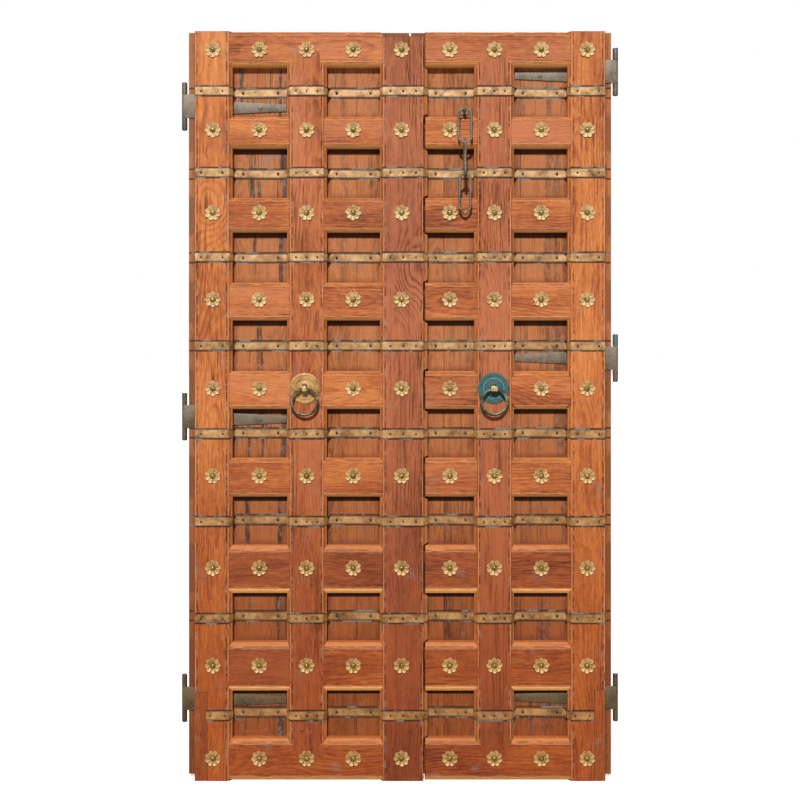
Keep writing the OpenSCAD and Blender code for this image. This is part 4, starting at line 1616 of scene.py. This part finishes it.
@dataclass
class Handle:
    """A toothed rose, the eye that stands on it and the ring that hangs in the eye.

    Each of the rose's steps is its radius and its height, as shares of the whole, and its wear:
    1 is the bright line round the middle, and less than 0 is grime."""

    side: str
    rose_slot: Slot
    rose_finish: bpy.types.Material
    eye_finish: bpy.types.Material
    collar_finish: bpy.types.Material
    ring_slot: Slot
    ring_finish: bpy.types.Material
    eye_width: float
    ring_line: float
    teeth: int = 32
    tooth: float = 0.12
    rim: float = 0.24
    steps: tuple[Place, ...] = (
        (0.90, 0.26, 0.2), (0.87, 0.34, 0.0), (0.84, 0.30, -0.25), (0.67, 0.36, 0.0),
        (0.64, 0.50, 1.0), (0.60, 0.46, -0.3), (0.42, 0.62, 0.0), (0.28, 0.90, 0.2), (0.16, 1.0, -0.3))
    flute: float = 0.45 * MM
    eye_height: float = 13.6 * MM
    eye_wall: float = 2.3 * MM
    eye_ease: float = 1.3 * MM
    eye_drop: float = 3.9 * MM
    sunk: float = 1.5 * MM
    collar_size: Place = (14.3 * MM, 14 * MM, 9 * MM)
    collar_rise: float = 4.5 * MM
    uneven: float = 0.3 * MM

    def build(self) -> None:
        """Make the rose, the eye with its collar, and the ring."""
        rose_node, eye_node, ring_node = (f"{self.side}_ring{end}" for end in ("_plate", "_eye", ""))
        Bench.hang(self.rose(*Bench.node_box(rose_node)), rose_node, self.rose_slot, self.rose_finish)
        low, high = Bench.node_box(eye_node)
        across, front = (low.x + high.x) / 2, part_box(rose_node)[0][1]
        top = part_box(ring_node)[1][2]
        Bench.hang(self.eye(across, low.y, front, top), eye_node, Slot.EYES, self.eye_finish)
        Bench.hang(self.collar(across, front, top), eye_node, Slot.CHAIN, self.collar_finish)
        Bench.hang(self.ring(*Bench.node_box(ring_node)), ring_node, self.ring_slot, self.ring_finish)

    def rose(self, low: Corner, high: Corner) -> Piece:
        """Turn the stepped rose, cut its teeth and flute its middle.

        Args:
            low: its lowest corner.
            high: its highest corner.

        Returns:
            The rose.
        """
        radius, height = (high.x - low.x) / 2, high.y - low.y
        middle = Vector(((low.x + high.x) / 2, high.y, (low.z + high.z) / 2))
        rose = Bench.start(
            bpy.ops.mesh.primitive_circle_add, f"{self.side}_ring_rose", vertices=2 * self.teeth,
            radius=radius, fill_type="NGON", location=middle, rotation=FORWARD)
        Bench.edit(rose, whole=True)
        rise, last = self.rim * height, 1.0
        Bench.extrude(0, -rise, 0)
        for share, level, _ in self.steps:
            Bench.extrude(0, rise - level * height, 0)
            bpy.ops.transform.resize(value=(share / last, 1, share / last), center_override=middle)
            rise, last = level * height, share
        Bench.outward()
        Bench.close()
        self.cut(rose, middle, radius)
        return Bench.settle(rose, 32.0)

    def cut(self, rose: Piece, middle: Corner, radius: float) -> None:
        """Draw in every other point of the rim, flute the middle, and mark grime and wear, with
        painted shade on the lower middle and on the lower right teeth.

        Args:
            rose: the turned rose.
            middle: its middle, at the back.
            radius: its radius.
        """
        places = Bench.points(rose)
        away = places - np.array(middle)
        reach = np.hypot(away[:, 0], away[:, 2]) / radius
        turn = (np.arctan2(away[:, 2], away[:, 0]) - math.pi / 2) * self.teeth / math.pi
        odd = np.round(turn).astype(int) % 2
        # a share that grows towards the lower right, away from the light: the teeth there are cut
        # deeper and given painted shade
        shadow_side = np.clip(0.62 + 0.6 * (away[:, 0] - away[:, 2]) / (reach * radius + MM), 0.2, 1.0)
        shrink = np.where((reach > 0.99) & (odd == 1), 1 - self.tooth * shadow_side, 1.0)
        places[:, 0] = middle.x + away[:, 0] * shrink
        places[:, 2] = middle.z + away[:, 2] * shrink
        places[:, 1] += self.flute * odd * ((reach > 0.2) & (reach < 0.62))
        Bench.move_points(rose, places)
        grime = np.zeros(len(places))
        for share, _, wear in self.steps:
            grime[np.abs(reach - share) < 0.01] = -wear * (self.ring_line if wear == 1.0 else 1.0)
        grime[(reach > 0.2) & (reach < 0.5) & (odd == 1)] += 0.35
        # painted shade: the lower half of the middle is darkened as if shadowed by the dome and the
        # ring
        grime[(reach < 0.5) & (away[:, 2] < 0)] += 0.3
        grime[reach > 0.91] += (0.75 * odd * shadow_side)[reach > 0.91]
        Bench.mark(rose, "grime", grime, "FLOAT")
        Bench.mark(rose, "lot", (1.3, 4.7, 2.9))

    def eye(self, across: float, near: float, front: float, top: float) -> Piece:
        """Forge the square eye that holds the ring's top.

        Args:
            across: how far across the door its middle lies.
            near: how far forward the eye reaches.
            front: how far forward the rose reaches.
            top: the height of the ring's top.

        Returns:
            The eye.
        """
        deep = front + self.sunk - near
        eye = Bench.start(
            bpy.ops.mesh.primitive_cube_add, f"{self.side}_ring_block",
            (self.eye_width, deep, self.eye_height), size=1,
            location=(across, near + deep / 2, top - self.eye_drop))
        Bench.edit(eye)
        Bench.faces(eye, lambda centre, normal: abs(normal.x) > 0.9)
        bpy.ops.mesh.inset(thickness=self.eye_wall)
        bpy.ops.mesh.bridge_edge_loops()
        Bench.outward()
        Bench.close()
        Bench.ease(eye, self.eye_ease, segments=3)
        self.plain_marks(eye, -0.35)
        return Bench.settle(eye, 50.0)

    def collar(self, across: float, front: float, top: float) -> Piece:
        """Forge the dark collar that pins the eye through the rose.

        Args:
            across: how far across the door its middle lies.
            front: how far forward the rose reaches.
            top: the height of the ring's top.

        Returns:
            The collar.
        """
        collar = Bench.start(
            bpy.ops.mesh.primitive_cylinder_add, f"{self.side}_ring_collar", self.collar_size,
            vertices=20, radius=0.5, depth=1,
            location=(across, front - self.sunk, top + self.collar_rise), rotation=FORWARD)
        Bench.edit(collar)
        Bench.faces(collar, lambda centre, normal: normal.y < -0.9)
        bpy.ops.mesh.inset(thickness=1.6 * MM, depth=1.2 * MM)
        bpy.ops.mesh.inset(thickness=1.2 * MM, depth=-2.0 * MM)
        Bench.outward()
        Bench.close()
        self.plain_marks(collar, 0.0)
        return Bench.settle(collar)

    def ring(self, low: Corner, high: Corner) -> Piece:
        """Bend the ring, a little uneven from the hammer.

        Args:
            low: its lowest corner.
            high: its highest corner.

        Returns:
            The ring.
        """
        bar, radius, middle = (high.y - low.y) / 2, (high.z - low.z) / 2, (low + high) / 2
        ring = Bench.start(
            bpy.ops.mesh.primitive_torus_add, f"{self.side}_ring_hoop", major_segments=72,
            minor_segments=16, major_radius=radius - bar, minor_radius=bar, location=middle,
            rotation=FORWARD)
        Bench.edit(ring, whole=True)
        bpy.ops.mesh.normals_make_consistent(inside=False)
        Bench.close()
        places = Bench.points(ring)
        away = places - np.array(middle)
        reach = np.hypot(away[:, 0], away[:, 2])
        turn = np.arctan2(away[:, 2], away[:, 0])
        uneven = self.uneven * np.sin(3 * turn) * (away[:, 2] < 0.5 * radius)
        pull = (reach + uneven) / reach
        places[:, 0] = middle.x + away[:, 0] * pull
        places[:, 2] = middle.z + away[:, 2] * pull
        Bench.move_points(ring, places)
        # painted highlight: the inner front of the ring is marked below 0 so that it is drawn pale
        painted_inner_highlight = np.exp(-(((radius - bar - reach) / bar - 0.62) / 0.30) ** 2) * (away[:, 1] < 0)
        top = np.clip(away[:, 2] / radius, 0, 1)
        Bench.mark(ring, "grime", 0.30 + 0.3 * top - 1.25 * painted_inner_highlight, "FLOAT")
        Bench.mark(ring, "lot", (2.3, 0.7, 5.9))
        return Bench.settle(ring, 60.0)

    @staticmethod
    def plain_marks(piece: Piece, grime: float) -> None:
        """Mark a piece as evenly clean or grimy."""
        Bench.mark(piece, "grime", grime, "FLOAT")
        Bench.mark(piece, "lot", (3.1, 1.7, 5.3))


@dataclass
class Chain:
    """The latch chain: a staple and three long forged links, the last one drawn to a point."""

    finish: bpy.types.Material
    links: int = 3
    flatten: float = 1.25
    tail: float = 3 * MM
    wander: float = 0.35 * MM
    point: float = 0.55
    point_length: float = 1.5 * MM
    washers: tuple[tuple[float, float], ...] = ((11 * MM, 2.4 * MM), (8 * MM, 1.6 * MM))

    def build(self) -> None:
        """Forge the staple and the links."""
        staple = self.staple(*Bench.node_box("chain_staple"))
        Bench.hang(staple, "chain_staple", Slot.CHAIN, self.finish)
        for number in range(1, self.links + 1):
            node = f"chain_link_{number}"
            link = self.link(*Bench.node_box(node), f"{node}_bar", number == self.links)
            Bench.hang(link, node, Slot.CHAIN, self.finish)

    def staple(self, low: Corner, high: Corner) -> Piece:
        """Forge the staple: a round eye through the plank, and a washer on each side of it.

        Args:
            low: its lowest corner.
            high: its highest corner.

        Returns:
            The staple.
        """
        front, back = (corner[1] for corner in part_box("right_plank_2"))
        middle, bar = (low + high) / 2, (high.x - low.x) / 2
        radius = (high.z - low.z) / 2 - bar
        centre = low.y + radius + bar
        eye = Bench.start(
            bpy.ops.mesh.primitive_torus_add, "staple", major_segments=32, minor_segments=12,
            major_radius=radius, minor_radius=bar, rotation=(0, math.pi / 2, 0),
            location=(middle.x, centre, middle.z))
        places = Bench.points(eye)
        behind = places[:, 1] > centre + 0.1 * MM
        places[behind, 1] += back + self.tail - (centre + radius + bar)
        places[:, 0] = middle.x + (places[:, 0] - middle.x) * np.where(behind, 1.0, self.flatten)
        Bench.move_points(eye, places)
        parts = [eye]
        for (wide, thick), face in zip(self.washers, (front, back + self.washers[1][1])):
            washer = Bench.start(
                bpy.ops.mesh.primitive_cylinder_add, "washer", vertices=18, radius=wide,
                depth=thick, location=(middle.x, face - thick / 2, middle.z), rotation=FORWARD)
            Bench.edit(washer)
            Bench.faces(washer, lambda centre, normal: normal.y < -0.9)
            bpy.ops.mesh.inset(thickness=wide * 0.3, depth=0.6 * MM)
            bpy.ops.mesh.inset(thickness=wide * 0.3, depth=-1.0 * MM)
            Bench.close()
            parts.append(washer)
        return Bench.settle(Bench.join(parts, "chain_staple_eye"), 45.0)

    def link(self, low: Corner, high: Corner, name: str, pointed: bool) -> Piece:
        """Bend a bar into a long link.

        Args:
            low: the link's lowest corner.
            high: its highest corner.
            name: its name.
            pointed: whether its lower end is drawn to a point.

        Returns:
            The link.
        """
        size, middle = high - low, (low + high) / 2
        turn = 0 if size.x > size.y else math.pi / 2
        width, bar = max(size.x, size.y), min(size.x, size.y) / 2
        link = Bench.start(
            bpy.ops.mesh.primitive_torus_add, name, major_segments=48, minor_segments=12,
            major_radius=width / 2 - bar, minor_radius=bar, rotation=(math.pi / 2, 0, turn))
        Bench.edit(link, whole=True)
        bpy.ops.mesh.normals_make_consistent(inside=False)
        for level in (0.2, 0.4, 0.6, 0.8, -0.2, -0.4, -0.6, -0.8):
            Bench.cut((0, 0, level * MM), (0, 0, 1))
        Bench.close()
        places = Bench.points(link)
        straight = (size.z - width) / 2
        places[:, 2] += np.clip(places[:, 2] / MM, -1, 1) * straight
        t = places[:, 2] * 1000
        places[:, 0] += self.wander * np.sin(t / 9.0 + bar * 3000)
        places[:, 1] += self.wander * np.sin(t / 13.0 + 1.0)
        if pointed:
            tip = np.clip((-places[:, 2] - straight) / (width / 2), 0, 1)
            places[:, 0] *= 1 - self.point * tip ** 1.5
            places[:, 2] -= self.point_length * tip
        Bench.move_points(link, places + np.array(middle))
        return Bench.settle(link, 60.0)


@dataclass
class Fittings:
    """The screw in the repair."""

    smith: Smith
    finish: bpy.types.Material

    def build(self) -> None:
        """Drive the screw."""
        self.smith.work("repair_screw", Slot.SCREW, self.finish)


# ---------------------------------------------------------------- the studio


@dataclass
class Studio:
    """The camera, the lights and the pale floor.

    The view is field_width wide at field_distance from the camera. drop is how far the view is moved
    down, as a share of its width. A floor colour is what lights the door and then what is seen."""

    eye: Place = (0.0, -3.31, 1.263)
    field_width: float = 2.24
    field_distance: float = 3.30
    drop: float = 0.0875
    sensor: float = 36.0
    sun_turn: Place = (math.radians(54), 0.0, math.radians(-6))
    sun_power: float = 4.0
    rear_turn: Place = (math.radians(-50), 0.0, math.radians(-16))
    rear_power: float = 2.4
    sun_softness: float = math.radians(4)
    fill: float = 0.12
    floor_size: float = 60.0
    floor_colours: tuple[float, float] = (0.30, 0.94)
    floor_glow: float = 0.22

    def build(self) -> None:
        """Set up the view, the light and the floor."""
        self.camera()
        self.sun("key", self.sun_turn, self.sun_power)
        self.sun("rear", self.rear_turn, self.rear_power)
        self.surround()
        self.floor()

    def camera(self) -> None:
        """Stand the camera level in front of the door."""
        data = bpy.data.cameras.new("camera")
        data.sensor_width = self.sensor
        data.lens = self.sensor * self.field_distance / self.field_width
        data.shift_y = -self.drop
        camera = bpy.data.objects.new("camera", data)
        camera.location = self.eye
        camera.rotation_euler = FORWARD
        bpy.context.scene.collection.objects.link(camera)
        bpy.context.scene.camera = camera

    def sun(self, name: str, turn: Place, power: float) -> None:
        """Hang a soft light.

        Args:
            name: its name.
            turn: which way it points.
            power: how strong it is.
        """
        data = bpy.data.lights.new(name, "SUN")
        data.energy, data.angle = power, self.sun_softness
        light = bpy.data.objects.new(name, data)
        light.rotation_euler = turn
        bpy.context.scene.collection.objects.link(light)

    def surround(self) -> None:
        """Put a white surround behind the door, which lights it only weakly."""
        world = bpy.data.worlds.new("surround")
        world.use_nodes = True
        nodes, links = world.node_tree.nodes, world.node_tree.links
        light, sky = nodes["Background"], nodes.new("ShaderNodeBackground")
        path, mix = nodes.new("ShaderNodeLightPath"), nodes.new("ShaderNodeMixShader")
        for node, power in ((light, self.fill), (sky, 1.0)):
            node.inputs["Color"].default_value = (1.0, 1.0, 1.0, 1.0)
            node.inputs["Strength"].default_value = power
        links.new(path.outputs["Is Camera Ray"], mix.inputs[0])
        links.new(light.outputs[0], mix.inputs[1])
        links.new(sky.outputs[0], mix.inputs[2])
        links.new(mix.outputs[0], nodes["World Output"].inputs["Surface"])
        bpy.context.scene.world = world
        bpy.context.scene.view_settings.view_transform = "Standard"

    def floor(self) -> None:
        """Lay the pale floor."""
        floor = Bench.start(bpy.ops.mesh.primitive_plane_add, "floor", size=self.floor_size,
                            location=(0, 0, -0.5 * MM))
        s = Shader("pale_floor")
        seen = Wire(s, s.add("ShaderNodeLightPath").outputs["Is Camera Ray"])
        lit, shown = ((grey,) * 3 for grey in self.floor_colours)
        wires = {"Base Color": s.blend(seen, lit, shown),
                 "Emission Color": s.blend(seen, (0.0,) * 3, (self.floor_glow,) * 3)}
        s.dress(wires, Emission_Strength=1.0, Roughness=0.9)
        floor.data.materials.append(s.material)


# ---------------------------------------------------------------- the door


def timbers() -> tuple[bpy.types.Material, bpy.types.Material, bpy.types.Material]:
    """Make the finishes of the timber.

    Returns:
        The finishes of the grid, the planks and the repair strips.
    """
    bands = tuple((low.z, high.z) for low, high in Bench.boxes("left_bands"))
    grid_face, plank_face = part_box("left_outer_stile")[0][1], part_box("left_plank_2")[0][1]
    grid = Timber("oiled_teak", bands, grid_face)
    planks = Timber("weathered_planks", bands, plank_face, openings=Planking.openings(),
                    contrast=0.58, splits=0.4, saw_marks=0.5,
                    **hues(pale=(190, 117, 64), warm=(168, 101, 54), deep=(92, 49, 26),
                           rosy=(160, 99, 62), bright=(206, 136, 80)))
    repair = Timber("dark_repair", bands, grid_face,
                    **hues(pale=(184, 108, 58), warm=(150, 82, 42), deep=(92, 46, 22),
                           rosy=(150, 86, 52), bright=(206, 130, 76)))
    return grid.build(), planks.build(), repair.build()


def brasswork() -> None:
    """Build the bands with their tacks, and the rosettes with their nails."""
    tack_iron = Iron("tack_iron", metal=0.5, rough=0.42,
                     **hues(pale=(92, 74, 58), dark=(36, 26, 20), rust=(64, 38, 24)))
    Bands(Brass("beaten_brass").build(), tack_iron.build()).build()
    stamped = Brass("stamped_brass", patch_scale=60.0, dent_scale=260.0, metal=0.1, rough=0.5,
                    dent_depth=0.2,
                    **hues(pale=(228, 196, 142), gold=(190, 154, 96), dark=(96, 68, 34)))
    nails = Brass("nail_brass", patch_scale=80.0, dent_scale=260.0, metal=0.3, rough=0.26,
                  dent_depth=0.12,
                  **hues(pale=(192, 160, 92), gold=(148, 118, 62), dark=(66, 48, 24)))
    Flowers(stamped.build(), nails.build()).build()


def ironwork(smith: Smith) -> None:
    """Build the hinges and their pins.

    Args:
        smith: who works them.
    """
    pin_hues = hues(pale=(132, 122, 106), dark=(44, 38, 34))
    green_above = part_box("right_mid_hinge_strap")[1][2]
    Hinges(smith, Iron("hinge_iron").build(), Iron("pin_iron", rough=0.5, **pin_hues).build(),
           Iron("green_pin_iron", green_above=green_above, **pin_hues).build()).build()


def handles(chain_finish: bpy.types.Material) -> None:
    """Build the two ring handles.

    Args:
        chain_finish: the chain's finish, which the collars share.
    """
    eye_finish = Brass("eye_brass", patch_scale=90.0, dent_scale=300.0, metal=0.5, rough=0.28,
                       dent_depth=0.2, **hues(pale=(246, 222, 160), gold=(206, 172, 108))).build()
    ring = {"patch_scale": 50.0, "dent_scale": 160.0, "metal": 0.35, "rough": 0.42}
    plate_brass = Brass("plate_brass", patch_scale=36.0, dent_scale=260.0, metal=0.15, rough=0.5,
                        dent_depth=0.15, patchy=0.8,
                        **hues(pale=(214, 170, 104), gold=(168, 126, 68), dark=(66, 44, 22)))
    ring_bronze = Brass("ring_bronze", **ring,
                        **hues(pale=(196, 172, 138), gold=(70, 52, 38), dark=(34, 24, 18)))
    Handle("left", Slot.LEFT_PLATE, plate_brass.build(), eye_finish, chain_finish, Slot.LEFT_RING,
           ring_bronze.build(), eye_width=13.0 * MM, ring_line=0.3).build()
    ring_verdigris = Brass("ring_verdigris", **ring,
                           **hues(pale=(184, 182, 146), gold=(74, 76, 54), dark=(30, 42, 38)))
    Handle("right", Slot.RIGHT_PLATE, Verdigris("plate_verdigris").build(), eye_finish, chain_finish,
           Slot.RIGHT_RING, ring_verdigris.build(), eye_width=18.5 * MM, ring_line=1.0).build()


def main() -> None:
    """Build the door piece by piece."""
    logging.basicConfig(level=logging.INFO, format="%(name)s %(message)s")
    Studio().build()
    joiner, smith = Joiner(), Smith()
    grid_finish, plank_finish, repair_finish = timbers()
    Planking(joiner, plank_finish, repair_finish).build()
    Grid(joiner, grid_finish).build()
    brasswork()
    ironwork(smith)
    chain_finish = Iron("chain_iron", rough=0.48,
                        **hues(pale=(160, 142, 120), dark=(62, 50, 40), rust=(104, 74, 54))).build()
    handles(chain_finish)
    Chain(chain_finish).build()
    screw = Iron("screw_steel", metal=0.7, **hues(pale=(168, 164, 156), dark=(96, 90, 82)))
    Fittings(smith, screw.build()).build()


if __name__ == "__main__":
    main()
